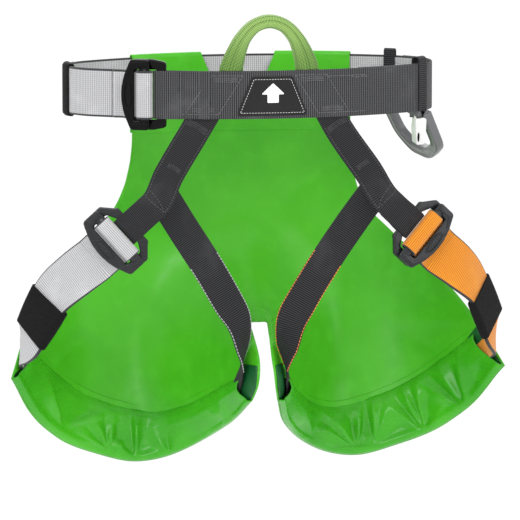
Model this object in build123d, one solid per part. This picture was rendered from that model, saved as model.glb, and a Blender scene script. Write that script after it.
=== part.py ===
"""Sit harness with a wrap-round protective seat: belt, buckles, risers, leg loops and tool holder.

Millimetres.  +X is to the right of a person facing the harness, +Y goes to the wearer's back and
+Z is up.  The origin is the centre of the waist ring at the belt's mid-height.
"""
from build123d import *
import math
import os

# ---------------------------------------------------------------- driving dimensions
BELT_WIDTH = 45.0            # waist and leg webbing
RISER_WIDTH = 28.0           # front risers
LAP = 0.02                   # step between two lengths of one strap where they join
CROTCH_WIDTH = 30.0          # straps between the legs
PLY = 1.8                    # one layer of webbing
GAP = 0.3                    # clearance between pieces that move past each other

LEFT_HIP_CENTRE = 129.0      # centre of the left hip's bend, out from the middle
LEFT_HIP_RADIUS = 46.0
RIGHT_HIP_CENTRE = 110.0     # centre of the right hip's bend, out from the middle
RING_DEPTH = 168.0           # waist ring, front to back

BUCKLE_WIDTH = 66.0          # across the webbing
BUCKLE_TOP = -20.2           # the end that the fixed webbing is looped round
BUCKLE_FOOT = 16.0           # the end that the adjustable webbing leaves
FRAME_PLY = 4.0              # buckle frame, front to back
PLATE_PLY = 3.6              # buckle plate, front to back
PLATE_TILT = 30.0            # how far the plate opens, degrees

SEAT_PLY = 2.0               # coated fabric
SEAT_TOP = -24.0             # the seat's upper edge, just under the belt
HEM_FOOT = -50.0             # lower edge of the doubled hem
NOTCH_TOP = -222.0           # top of the slot between the legs
TUNNEL_VOID = 5.0            # room for the webbing inside the leg tunnel

LOOP_RISE = 40.0             # tie-in loop above its hinge
LOOP_SPAN = 71.0             # tie-in loop, leg to leg
LOOP_AXIS = 28.0             # height of the line that the tie-in loop swings about

# ---------------------------------------------------------------- worked out from them
HALF_DEPTH = RING_DEPTH / 2
SIDE_RADIUS = (LEFT_HIP_CENTRE**2 + HALF_DEPTH**2 - LEFT_HIP_RADIUS**2) / (2 * (HALF_DEPTH - LEFT_HIP_RADIUS))
SIDE_CENTRE = SIDE_RADIUS - HALF_DEPTH
RIGHT_HIP_RADIUS = SIDE_RADIUS - math.hypot(RIGHT_HIP_CENTRE, SIDE_CENTRE)
LEFT_SPAN = math.degrees(math.atan2(LEFT_HIP_CENTRE, SIDE_CENTRE))
RIGHT_SPAN = math.degrees(math.atan2(RIGHT_HIP_CENTRE, SIDE_CENTRE))
HALF_BELT = BELT_WIDTH / 2

# the belt is a stack of layers, measured outward from the wearer's side of the ring
LINING = (0.0, PLY)
RISER_LAYER = (PLY + 0.1, PLY + 2.3)
COVER = (PLY + 2.4, PLY + 4.4)
LABEL_LAYER = (COVER[1] + 0.05, COVER[1] + 1.05)
BUCKLE_LEVEL = PLY + GAP + FRAME_PLY / 2

os.makedirs("parts", exist_ok=True)


def save(name, shape):
    """Write one node's solids to its own file."""
    solids = shape.solids()
    whole = solids[0] if len(solids) == 1 else Compound(children=list(solids))
    export_step(whole, f"parts/{name}.step")


def blend_step(amount):
    """A smooth step from 0 to 1."""
    held = max(0.0, min(1.0, amount))
    return held * held * (3 - 2 * held)


# ---------------------------------------------------------------- the waist ring
def ring_arcs():
    """The oval's four arcs: centre, radius, and the first and last direction that each faces."""
    return [
        ((0, SIDE_CENTRE), SIDE_RADIUS, -90 - LEFT_SPAN, -90 + RIGHT_SPAN),
        ((RIGHT_HIP_CENTRE, 0), RIGHT_HIP_RADIUS, -90 + RIGHT_SPAN, 90 - RIGHT_SPAN),
        ((0, -SIDE_CENTRE), SIDE_RADIUS, 90 - RIGHT_SPAN, 90 + LEFT_SPAN),
        ((-LEFT_HIP_CENTRE, 0), LEFT_HIP_RADIUS, 90 + LEFT_SPAN, 270 - LEFT_SPAN),
    ]


def ring_point(facing, outward, height=0.0):
    """The point of the ring that faces a direction (degrees), moved outward."""
    turned = (facing + 90 + LEFT_SPAN) % 360 - 90 - LEFT_SPAN
    for centre, radius, first, last in ring_arcs():
        if first <= turned <= last:
            reach = radius + outward
            angle = math.radians(turned)
            return Vector(centre[0] + reach * math.cos(angle), centre[1] + reach * math.sin(angle), height)
    raise ValueError("no arc faces that way")


def front_facing(x):
    """The direction that the front of the ring faces at x."""
    return -90 + math.degrees(math.asin(x / SIDE_RADIUS))


def ring_edges(start, end, outward):
    """The ring's edges between two directions, moved outward."""
    edges = []
    for turn in (0, 360):
        for centre, radius, first, last in ring_arcs():
            low = max(start, first + turn)
            high = min(end, last + turn)
            if high - low > 1e-6:
                edges.append(CenterArc(centre, radius + outward, low, high - low))
    return edges


def ring_band(start, end, layer, low=-HALF_BELT, high=HALF_BELT):
    """A band that follows the ring between two directions, within one layer of the stack."""
    inner = ring_edges(start, end, layer[0])
    outer = ring_edges(start, end, layer[1])
    ends = [
        Line(ring_point(start, layer[0]), ring_point(start, layer[1])),
        Line(ring_point(end, layer[0]), ring_point(end, layer[1])),
    ]
    face = make_face(Curve() + inner + outer + ends)
    return Pos(0, 0, low) * extrude(face, high - low)


# ---------------------------------------------------------------- webbing
def frame_at(centre, out, along):
    """A plane whose x runs across a strap, whose y points out of its back and whose z runs along it."""
    across = Vector(*along).cross(Vector(*out)).normalized()
    return Plane(origin=centre, x_dir=across, z_dir=along)


def strap_run(stations, width, thickness, first=None, last=None):
    """A flat strap through stations of (centre, outward direction), with its end directions if given."""
    centres = [Vector(*centre) for centre, _ in stations]
    sections = []
    for index, (_, out) in enumerate(stations):
        before = centres[max(index - 1, 0)]
        after = centres[min(index + 1, len(centres) - 1)]
        along = after - before
        if index == 0 and first is not None:
            along = Vector(*first)
        if index == len(centres) - 1 and last is not None:
            along = Vector(*last)
        sections.append(frame_at(centres[index], out, along) * Rectangle(width, thickness))
    return loft(sections)


def ribbon(corners, radii, thickness, width):
    """Webbing of one width that bends round corners in its own plane."""
    line = FilletPolyline(*corners, radius=radii)
    return extrude(trace(line, thickness), width / 2, both=True).rotate(Axis.X, 90)


# ---------------------------------------------------------------- buckles
# in a buckle's own frame x runs along the webbing, y across it and z out of it
BAR_REACH = 5.0              # half the plate's bar, along the webbing
BAR_RISE = 2.6               # half the plate's bar, out of the webbing
BAR_X = -0.7
PLATE_LOW = FRAME_PLY / 2 + PLY + 2 * GAP
BAR_Z = PLATE_LOW + PLATE_PLY / 2
UNDER = FRAME_PLY / 2 + GAP + PLY / 2     # webbing's middle, when it lies against the frame
WRAP_X = BAR_REACH + 1.5
WRAP_Z = BAR_RISE + 1.0 + PLY / 2
TAIL_Z = PLY + 0.2 - UNDER
STRAP_END = 30.0
FOLD_PLY = 2.0
FOLD_X = -11.4
RAIL = 9.0                   # the side rails, across the webbing
CROSSBAR = 7.0               # the frame's bars, along the webbing


def buckle_frame(loop_width):
    """The rear frame: a bar for the fixed webbing, two side rails and a pinch bar."""
    side = BUCKLE_WIDTH / 2
    neck = loop_width / 2 + CROSSBAR + 1.5
    foot = BUCKLE_FOOT
    half = [(BUCKLE_TOP, neck - 4), (BUCKLE_TOP + 3, neck), (-7, side), (foot - 5, side), (foot, side - 5)]
    other = [(x, -y) for x, y in reversed(half)]
    slot_neck = loop_width / 2 + 1.5
    slot_side = side - RAIL
    slot = [(BUCKLE_TOP + CROSSBAR, slot_neck), (-7, slot_side), (foot - CROSSBAR, slot_side)]
    slot_other = [(x, -y) for x, y in reversed(slot)]
    outline = make_face(Polyline(*half, *other, close=True))
    window = make_face(Polyline(*slot, *slot_other, close=True))
    ring = extrude(outline - window, FRAME_PLY / 2, both=True)
    rims = ring.faces().sort_by(Axis.Z)
    return chamfer(rims[0].edges() + rims[-1].edges(), 0.7)


def buckle_plate():
    """The front plate: a bar that the webbing wraps, two side rails and a raised pressing edge."""
    side = BUCKLE_WIDTH / 2
    slot = side - RAIL
    foot = BUCKLE_FOOT + 2
    heel = BAR_X - BAR_REACH
    outline = make_face(
        Curve()
        + Polyline((foot, -20), (foot - 6, -side), (heel, -side), (heel, -slot), (9, -slot), (9, slot),
                   (heel, slot), (heel, side), (foot - 6, side), (foot, 20))
        + ThreePointArc((foot, 20), (foot + 3.5, 0), (foot, -20))
    )
    plate = Pos(0, 0, PLATE_LOW) * extrude(outline, PLATE_PLY)
    top = plate.faces().sort_by(Axis.Z)[-1]
    plate = chamfer(top.edges(), 0.7)
    pad = Pos(14.6, 0, PLATE_LOW + PLATE_PLY - 0.2) * extrude(Ellipse(4.2, 12.5), 1.2)
    bar_face = Plane.XZ * Pos(BAR_X, BAR_Z) * Ellipse(BAR_REACH, BAR_RISE)
    bar = extrude(bar_face, slot + 1, both=True)
    return plate + pad + bar


def buckle_webbing():
    """The adjustable webbing where it comes up through the frame, round the bar and back out."""
    left = BAR_X - WRAP_X
    right = BAR_X + WRAP_X
    top = BAR_Z + WRAP_Z
    corners = [(STRAP_END, -UNDER), (2, -UNDER), (left, 1), (left, top), (right, top), (right, UNDER),
               (17, UNDER), (23, TAIL_Z), (STRAP_END, TAIL_Z)]
    return ribbon(corners, [4, 3, 4.2, 4.2, 2, 6, 6], PLY, BELT_WIDTH)


def looped_end(width, lay_z, back_z, front_reach, back_reach):
    """Fixed webbing looped round the frame's bar, with its two layers running back from it."""
    over = FRAME_PLY / 2 + GAP + FOLD_PLY / 2
    corners = [(-front_reach, lay_z), (-30, lay_z), (-24, over), (FOLD_X, over), (FOLD_X, -over)]
    radii = [8, 8, 2.85, 2.85]
    if back_z == -over:
        corners += [(-back_reach, back_z)]
    else:
        corners += [(-24, -over), (-30, back_z), (-back_reach, back_z)]
        radii += [8, 8]
    return ribbon(corners, radii, FOLD_PLY, width)


# ---------------------------------------------------------------- waist belt
WAIST_BUCKLE_FACING = front_facing(-111)
LINING_END = -72.0           # the lining's sewn end, behind the right-hand riser
COVER_END = 44.0             # the cover's sewn end, past the right hip
TAIL_END = 140.0             # the strap's free end, past the keeper
TAIL_LAYER = (PLY + 0.2, 2 * PLY + 0.2)
KEEPER_SPAN = 16.0           # half the waist keeper, in degrees round the hip


def waist_buckle_plane():
    out = (ring_point(WAIST_BUCKLE_FACING, 1) - ring_point(WAIST_BUCKLE_FACING, 0)).normalized()
    origin = ring_point(WAIST_BUCKLE_FACING, BUCKLE_LEVEL)
    return Plane(origin=origin, x_dir=(out.Y, -out.X, 0), z_dir=out)


def degrees_along_side(length):
    """How far the ring turns over a length of its long arcs."""
    return math.degrees(length / SIDE_RADIUS)


def waist_strap():
    """The adjustable belt: lining, the wrap in the buckle and the doubled-back tail."""
    start = 360 + WAIST_BUCKLE_FACING - degrees_along_side(STRAP_END - 0.6)
    lining = ring_band(LINING_END, start, LINING)
    tail = ring_band(TAIL_END, start, TAIL_LAYER)
    return lining + tail + waist_buckle_plane().location * buckle_webbing()


def front_belt():
    """The belt's outer cover, with its end looped round the buckle's frame."""
    loop_reach = 34.0
    lay_z = sum(COVER) / 2 - BUCKLE_LEVEL
    over = FRAME_PLY / 2 + GAP + FOLD_PLY / 2
    start = WAIST_BUCKLE_FACING + degrees_along_side(loop_reach - 0.6)
    fold = looped_end(BELT_WIDTH, lay_z, -over, loop_reach, 40)
    return ring_band(start, COVER_END, COVER) + waist_buckle_plane().location * fold


def waist_keeper():
    """The elastic sleeve that holds the belt's tail at the left hip."""
    skin = 1.6
    room = (-0.4, TAIL_LAYER[1] + 0.5)
    outer = ring_band(180 - KEEPER_SPAN, 180 + KEEPER_SPAN, (room[0] - skin, room[1] + skin),
                      -HALF_BELT - 0.7 - skin, HALF_BELT + 0.7 + skin)
    inner = ring_band(179 - KEEPER_SPAN, 181 + KEEPER_SPAN, room, -HALF_BELT - 0.7, HALF_BELT + 0.7)
    return outer - inner


def upright_outline(corners):
    """A prism through the whole harness, front to back, over corners given as (x, z)."""
    face = make_face(Polyline(*[(x, 0, z) for x, z in corners], close=True))
    return extrude(face, 200, dir=(0, 1, 0), both=True)


def attach_label():
    """The patch that marks the tie-in point."""
    middle = 3.0
    shape = upright_outline([(middle - 33, -19.5), (middle + 33, -19.5), (middle + 19, 17), (middle - 19, 17)])
    return ring_band(front_facing(-36), front_facing(42), LABEL_LAYER) & shape


# ---------------------------------------------------------------- tie-in loop
LOOP_LEG_X = LOOP_SPAN / 2
LOOP_Y = ring_point(front_facing(LOOP_LEG_X), sum(RISER_LAYER) / 2).Y
LOOP_START = 1.0             # degrees round the arch at which it clears its hinge line


def loop_arch(scale):
    """The tie-in loop's arch, as a flattened tube whose section is scaled."""
    sections = []
    stations = 10
    for index in range(stations + 1):
        turn = math.radians(LOOP_START + (180 - 2 * LOOP_START) * index / stations)
        crown = math.sin(turn) ** 2
        centre = (LOOP_LEG_X * math.cos(turn), LOOP_Y, LOOP_AXIS + LOOP_RISE * math.sin(turn))
        along = (-LOOP_LEG_X * math.sin(turn), 0, LOOP_RISE * math.cos(turn))
        plane = Plane(origin=centre, x_dir=(0, 1, 0), z_dir=along)
        sections.append(plane * Ellipse(scale * (4.4 + 3.4 * crown), scale * (12.0 - 5.2 * crown)))
    return loft(sections)


def tie_in_anchor(sign):
    """The loop's fixed end, sewn between the belt's layers."""
    near, far = sorted((front_facing(sign * 24), front_facing(sign * 47)))
    return ring_band(near, far, RISER_LAYER, 4.5, HALF_BELT + 0.7)


# ---------------------------------------------------------------- protective seat
LOBE_X = 115.0               # middle of each thigh's hollow
LOBE_Z = -268.0              # where the fork comes furthest forward
FORK_REACH = 200.0           # how far forward the fork stands of the hollows
FORK_SPREAD = 85.0
FORK_ROUND = 14.0
HIP_REACH = 105.0            # how far forward the outer edges stand
HIP_SPAN = 123.0
DISHING = 2.2
UNDERCUT = 6.1e-4            # how fast the seat curls under towards its foot


def seat_depth(x, z):
    """The seat's middle surface: how far back it lies at x and z."""
    back = math.sqrt((SIDE_RADIUS + SEAT_PLY / 2) ** 2 - x * x) - SIDE_CENTRE
    thigh = HALF_DEPTH + 1 - UNDERCUT * max(0.0, -z - 80) ** 2
    share = blend_step((HEM_FOOT - z) / 150)
    depth = back * (1 - share) + thigh * share
    side = math.hypot(x, FORK_ROUND)
    if side < LOBE_X:
        swell = math.exp(-(((z - LOBE_Z) / FORK_SPREAD) ** 2))
        return depth - FORK_REACH * swell * share * ((LOBE_X - side) / LOBE_X) ** DISHING
    return depth - HIP_REACH * share * ((side - LOBE_X) / HIP_SPAN) ** DISHING


def seat_out(x, z):
    """The seat's outward direction, away from the wearer."""
    step = 0.5
    along_x = (seat_depth(x + step, z) - seat_depth(x - step, z)) / (2 * step)
    along_z = (seat_depth(x, z + step) - seat_depth(x, z - step)) / (2 * step)
    return Vector(-along_x, 1, -along_z).normalized()


def seat_point(x, z, lift=0.0):
    """A point of the seat, lifted towards the wearer."""
    return Vector(x, seat_depth(x, z), z) - seat_out(x, z) * lift


def seat_sheet(low, high):
    """A sheet that follows the seat between two lifts."""
    across = [-250 + 12.5 * step for step in range(41)]
    down = [-18 - 12.5 * step for step in range(30)]
    points = [[seat_point(x, z, low) for x in across] for z in down]
    surface = Face.make_surface_from_array_of_points(points, tol=0.15)
    towards = surface.normal_at().Y
    return thicken(surface, (high - low) * (-1 if towards > 0 else 1))


SEAT_SIDE = [(106, SEAT_TOP), (106, -66), (112, -98), (123, -124), (145, -147), (174, -175), (201, -204),
             (219, -232), (237, -268)]
SEAT_FOOT = [(237, -268), (206, -316), (179, -339), (146, -354), (108, -363), (74, -357), (52, -345),
             (26, -319), (12, -290)]
SEAT_FORK = [(12, -290), (8.5, -275), (6.5, -254), (8.5, NOTCH_TOP)]
TUNNEL_SEAM = [(218, -241), (192, -269), (160, -295), (120, -312), (88, -317), (60, -309), (40, -296),
               (24, -280)]
TUNNEL_FOOT = [(231, -274), (205, -314), (178, -337), (145, -352), (108, -361), (75, -355), (54, -343),
               (29, -317), (17, -298)]


def upright(points):
    return [(x, 0, z) for x, z in points]


def seat_outline():
    """The seat's edge, seen from the front."""
    edges = []
    for run in (SEAT_SIDE, SEAT_FOOT, SEAT_FORK):
        edges.append(Spline(*upright(run)))
        edges.append(Spline(*upright([(-x, z) for x, z in run])))
    edges.append(Line((-SEAT_SIDE[0][0], 0, SEAT_TOP), (SEAT_SIDE[0][0], 0, SEAT_TOP)))
    edges.append(Line((-SEAT_FORK[-1][0], 0, NOTCH_TOP), (SEAT_FORK[-1][0], 0, NOTCH_TOP)))
    return extrude(make_face(Curve() + edges), 200, dir=(0, 1, 0), both=True)


def tunnel_outline(top_drop=0.0, foot_rise=0.0, reach=0.0):
    """The leg tunnel seen from the front, with its long edges drawn in and its ends let out."""
    seam = [(x, z - top_drop) for x, z in TUNNEL_SEAM]
    foot = [(x, z + foot_rise) for x, z in TUNNEL_FOOT]
    if reach:
        seam = [(seam[0][0] + reach, seam[0][1] + reach)] + seam + [(seam[-1][0] - reach, seam[-1][1] + reach)]
        foot = [(foot[0][0] + reach, foot[0][1] + reach)] + foot + [(foot[-1][0] - reach, foot[-1][1] + reach)]
    edges = [Spline(*upright(seam)), Spline(*upright(foot))]
    edges += [Line(*upright([seam[0], foot[0]])), Line(*upright([seam[-1], foot[-1]]))]
    return extrude(make_face(Curve() + edges), 200, dir=(0, 1, 0), both=True)


def seat_panel():
    return seat_sheet(-SEAT_PLY / 2, SEAT_PLY / 2) & seat_outline()


def leg_tunnel():
    """The sleeve welded inside each thigh's hollow, open at both ends."""
    skin = 1.6
    floor = SEAT_PLY / 2
    block = seat_sheet(floor, floor + TUNNEL_VOID + skin) & tunnel_outline()
    void = seat_sheet(floor - 0.2, floor + TUNNEL_VOID) & tunnel_outline(5, 3, 14)
    return block - void


def tunnel_webbing():
    """The load strap that lies inside the tunnel, between the two straps sewn to its ends."""
    band = seat_sheet(SEAT_PLY / 2 + 1.2, SEAT_PLY / 2 + 3.2) & tunnel_outline(8, 6)
    return band & upright_outline([(46, -400), (196, -400), (196, -200), (46, -200)])


def belt_sleeve():
    """A welded tab that folds over the back of the belt, with its skirt on the seat."""
    skin = 1.6
    near, far = 90 - math.degrees(math.asin(115 / SIDE_RADIUS)), 90
    low = HEM_FOOT
    top = HALF_BELT + 0.2
    inner = ring_band(near, far, (-skin, 0), low, top + skin)
    outer = ring_band(near, far, (SEAT_PLY, SEAT_PLY + skin), low, top + skin)
    cap = ring_band(near, far, (-skin, SEAT_PLY + skin), top, top + skin)
    return (inner + outer + cap) & upright_outline([(106, -60), (106, 30), (38.5, 30), (16, -24), (16, -60)])


def notch_hem():
    """The patch that reinforces the top of the slot between the legs."""
    arch = ThreePointArc((-9, 0, NOTCH_TOP), (0, 0, NOTCH_TOP + 11), (9, 0, NOTCH_TOP))
    face = make_face(Curve() + [arch, Line((-9, 0, NOTCH_TOP), (9, 0, NOTCH_TOP))])
    return seat_sheet(SEAT_PLY / 2, SEAT_PLY / 2 + 1.0) & extrude(face, 200, dir=(0, 1, 0), both=True)


# ---------------------------------------------------------------- leg loops (right; the left mirrors it)
LEG_BUCKLE_AT = Vector(143.4, -92.6, -131.5)
LEG_ALONG = Vector(0.72, 0.15, -0.677).normalized()
LEG_OUT_GUESS = Vector(0.08, -0.98, 0.16)
LEG_OUT = (LEG_OUT_GUESS - LEG_ALONG * LEG_OUT_GUESS.dot(LEG_ALONG)).normalized()
KEEPER_AT = Vector(212, -64.5, -207)
KEEPER_ALONG = Vector(0.40, 0.333, -0.856).normalized()
KEEPER_OUT = Vector(0.80, -0.57, 0.10)
KEEPER_LENGTH = 40.0
STRAIGHT_ABOVE = 34.0        # the straight stretch that the keeper slides on, above and below its middle
STRAIGHT_BELOW = 25.0
DOUBLE_PLY = 2 * PLY + 0.2
IN_TUNNEL = SEAT_PLY / 2 + TUNNEL_VOID / 2
LEG_BEND = ((180, -86, -160.5), (0.48, -0.87, 0.10))
LEG_TUCK = [(225.5, -255.5), (217, -267), (209, -278)]
CROTCH_LINE = [
    ((103, -90.2, -88), (0.05, -0.99, 0.05)),
    ((82.5, -78, -120), (0, -1, 0)),
    ((52, -71, -167.5), (0, -1, 0.05)),
    ((35, -68, -197), (-0.15, -0.98, 0)),
    ((25.8, -69, -214), (-0.5, -0.86, 0)),
    ((21.5, -68, -239), (-0.84, -0.54, 0)),
    ((22, -69, -262), (-0.97, -0.2, 0)),
]
CROTCH_TUCK = [(19, -284), (26, -294.5)]


def leg_buckle_plane():
    return Plane(origin=LEG_BUCKLE_AT, x_dir=LEG_ALONG, z_dir=LEG_OUT)


def tucked(places):
    """Stations inside the leg tunnel over places on the seat."""
    return [(seat_point(x, z, IN_TUNNEL), seat_out(x, z)) for x, z in places]


def leg_strap():
    """The adjustable strap: the wrap in the buckle, then two layers down to the tunnel."""
    plane = leg_buckle_plane()
    start = LEG_BUCKLE_AT + LEG_ALONG * (STRAP_END - 0.5) + LEG_OUT * ((TAIL_Z - UNDER) / 2)
    top = KEEPER_AT - KEEPER_ALONG * STRAIGHT_ABOVE
    foot = KEEPER_AT + KEEPER_ALONG * STRAIGHT_BELOW
    upper = strap_run([(start, LEG_OUT), LEG_BEND, (top, KEEPER_OUT)], BELT_WIDTH, DOUBLE_PLY,
                      first=LEG_ALONG, last=KEEPER_ALONG)
    straight = strap_run([(top, KEEPER_OUT), (foot, KEEPER_OUT)], BELT_WIDTH, DOUBLE_PLY)
    lower = strap_run([(foot, KEEPER_OUT)] + tucked(LEG_TUCK), BELT_WIDTH - 4, DOUBLE_PLY, first=KEEPER_ALONG)
    return plane.location * buckle_webbing() + upper + straight + lower


def riser_stations(offset):
    """The riser's line from its buckle to behind the belt, one ply apart front to back."""
    level = sum(RISER_LAYER) / 2 - 0.3 + offset
    behind = [ring_point(front_facing(x), level, z) for x, z in ((67, -33), (58, -17), (47, 3.5))]
    away = [(ring_point(front_facing(x), 1) - ring_point(front_facing(x), 0)) for x in (67, 58, 47)]
    end = LEG_BUCKLE_AT + LEG_ALONG * -44.5 + LEG_OUT * (1.05 + offset)
    middle = Vector(94, -88.5, -73) + Vector(0.1, -0.99, 0.05) * offset
    return [(end, LEG_OUT), (middle, (0.1, -0.99, 0.05))] + list(zip(behind, away))


def riser_strap():
    """The riser's front layer, which loops round the leg buckle's bar."""
    fold = leg_buckle_plane().location * looped_end(RISER_WIDTH, 1.05, -1.05, 45, 42)
    return fold + strap_run(riser_stations(LAP), RISER_WIDTH, FOLD_PLY, first=-LEG_ALONG)


def riser_backing():
    """The riser's rear layer."""
    return strap_run(riser_stations(-FOLD_PLY - 0.1), RISER_WIDTH, FOLD_PLY, first=-LEG_ALONG)


def crotch_strap():
    """The strap from the riser down between the legs, gathered where it enters the tunnel."""
    hanging = strap_run(CROTCH_LINE, CROTCH_WIDTH, FOLD_PLY)
    gathered = strap_run([CROTCH_LINE[-1]] + tucked(CROTCH_TUCK), CROTCH_WIDTH - 6, FOLD_PLY)
    return hanging + gathered


def leg_keeper():
    """The sleeve that holds the leg strap's two layers together."""
    skin = 1.6
    plane = frame_at(KEEPER_AT, KEEPER_OUT, KEEPER_ALONG)
    outer = RectangleRounded(BELT_WIDTH + 1.4 + 2 * skin, DOUBLE_PLY + 1.2 + 2 * skin, 2.4)
    sleeve = extrude(outer - Rectangle(BELT_WIDTH + 1.4, DOUBLE_PLY + 1.2), KEEPER_LENGTH / 2, both=True)
    return plane.location * sleeve


# ---------------------------------------------------------------- tool holder
HOLDER_LAYER = (-7.5, -0.6)
REAR_POST = (50.4, 61.0)     # the directions that the rear post spans
FRONT_POST = (-49.7, -38.3)
CROWN = ((-9.0, 7.0), -25.1, -HALF_BELT - 0.6)
HOLDER_AT = Vector(139, 43, -24)
HOLDER_ACROSS = Vector(19, -84, 0).normalized()
HOLDER_LEAN = 30.0           # how far the hook leans outward, degrees
HOOK_WIDTH = 11.0
HOOK_PLY = 9.0
HOOK_LINE = [(0, 1.5), (-4, 30), (10, 46), (50, 46), (86, 30), (97, 1)]
HOOK_BENDS = [16, 18, 40, 14]
GATE_AT = Vector(152.2, -40.8, -29.4)
GATE_ALONG = Vector(0.035, 0.2, -0.98).normalized()
GATE_LENGTH = 25.0
CHEEK = 2.0
BARREL = 3.6
SPRING = 1.2
REAR_KEEPER = (49.7, 61.7)
FRONT_KEEPER = (-50.4, -37.6)


def holder_plane():
    """The hook's plane: x from the rear post to the nose, y down and outward."""
    flat = Vector(-HOLDER_ACROSS.Y, HOLDER_ACROSS.X, 0)
    lean = math.radians(HOLDER_LEAN)
    down = flat * math.sin(lean) - Vector(0, 0, 1) * math.cos(lean)
    return Plane(origin=HOLDER_AT, x_dir=HOLDER_ACROSS, z_dir=HOLDER_ACROSS.cross(down))


def gate_plane():
    """The gate's frame: x along the gate, z along its pin."""
    return Plane(origin=GATE_AT, x_dir=GATE_ALONG, z_dir=HOLDER_ACROSS.cross(GATE_ALONG))


def tool_holder_body():
    """The hook, its two posts, the bar between them inside the belt and the gate's tongue."""
    bar = ring_band(FRONT_POST[0], REAR_POST[1], HOLDER_LAYER, -8, 8)
    rear = ring_band(*REAR_POST, HOLDER_LAYER, -28, 8)
    front = ring_band(*FRONT_POST, HOLDER_LAYER, -25, 8)
    crown = ring_band(*FRONT_POST, *CROWN)
    line = FilletPolyline(*HOOK_LINE, radius=HOOK_BENDS)
    hook = holder_plane().location * extrude(trace(line, HOOK_WIDTH), HOOK_PLY / 2, both=True)
    hook = chamfer(hook.edges().filter_by(lambda edge: edge.length > 9.5), 1.6)
    tongue = Cylinder(3.2, BARREL) + Pos(-3, 0, 0) * Box(4, 5.4, BARREL) - Cylinder(1.2, 30)
    return bar + rear + front + crown + hook + gate_plane().location * tongue


def tool_holder_gate():
    """The sprung gate, which straddles the tongue under the front post."""
    half_top, half_foot = 6.5, 4.5
    blade = make_face(Polyline((6, -half_top), (GATE_LENGTH - 2, -half_foot), (GATE_LENGTH, -half_foot + 2),
                               (GATE_LENGTH, half_foot - 2), (GATE_LENGTH - 2, half_foot), (6, half_top),
                               close=True))
    body = extrude(blade, 4, both=True)
    body = chamfer(body.edges().filter_by(Plane.XY), 1.0)
    middle = BARREL / 2 + SPRING + 0.4 + CHEEK / 2
    for side in (-1, 1):
        body += Pos(0, 0, side * middle) * Cylinder(3.4, CHEEK)
        body += Pos(4, 0, side * middle) * Box(8, 6.8, CHEEK)
    return gate_plane().location * (body - Cylinder(1.5, 20))


def tool_gate_pin():
    length = BARREL + 2 * (SPRING + 0.4 + CHEEK)
    return gate_plane().location * Cylinder(1.15, length)


def tool_gate_spring():
    """The small torsion spring on the pin, beside the gate's barrel."""
    coil = Cylinder(2.6, SPRING) - Cylinder(1.5, SPRING)
    return gate_plane().location * Pos(0, 0, BARREL / 2 + 0.2 + SPRING / 2) * coil


def tool_keeper(start, end, face, reach):
    """A webbing loop that hooks over the belt and holds one post of the tool holder."""
    skin = 1.4
    top = HALF_BELT + 6.5
    outer = ring_band(start, end, (face, face + skin), -HALF_BELT, top)
    inner = ring_band(start, end, (-0.3 - skin, -0.3), reach, top)
    cap = ring_band(start, end, (-0.3 - skin, face + skin), top - skin, top)
    return outer + inner + cap


# ---------------------------------------------------------------- all nodes
def mirrored(shape):
    return mirror(shape, about=Plane.YZ)


def main():
    waist = waist_buckle_plane().location
    save("front_belt", front_belt())
    save("waist_strap", waist_strap())
    save("waist_buckle_frame", waist * buckle_frame(BELT_WIDTH))
    save("waist_buckle_plate", waist * buckle_plate())
    save("waist_keeper", waist_keeper())
    save("attach_label", attach_label())
    save("tie_in_loop_sheath", loop_arch(1.0) - loop_arch(0.64))
    save("tie_in_loop_core", loop_arch(0.6))

    leg = leg_buckle_plane().location
    pairs = {
        "tie_in_anchor": tie_in_anchor(1),
        "belt_sleeve": belt_sleeve(),
        "leg_tunnel": leg_tunnel(),
        "tunnel_webbing": tunnel_webbing(),
        "riser_strap": riser_strap(),
        "riser_backing": riser_backing(),
        "crotch_strap": crotch_strap(),
        "leg_strap": leg_strap(),
        "leg_buckle_frame": leg * buckle_frame(RISER_WIDTH),
        "leg_buckle_plate": leg * buckle_plate(),
        "leg_keeper": leg_keeper(),
    }
    for name, shape in pairs.items():
        save(f"{name}_right", shape)
        save(f"{name}_left", mirrored(shape))

    save("seat_panel", seat_panel())
    save("notch_hem", notch_hem())
    save("tool_holder_body", tool_holder_body())
    save("tool_holder_gate", tool_holder_gate())
    save("tool_gate_pin", tool_gate_pin())
    save("tool_gate_spring", tool_gate_spring())
    save("tool_keeper_rear", tool_keeper(*REAR_KEEPER, LINING[1] + 0.1, 10))
    save("tool_keeper_front", tool_keeper(*FRONT_KEEPER, COVER[1] + 0.1, 10))


main()
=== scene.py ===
"""Looks of the sit harness: webbing, buckles, protective seat, tie-in loop and tool holder.

Everything is in metres in the frame of the CAD part.  +X is to the right of a person who faces the
harness, +Y goes to the wearer's back and +Z is up, from the centre of the waist ring.
"""
import math

import bmesh
import bpy
import numpy as np
from mathutils import Matrix, Vector, geometry, noise


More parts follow.
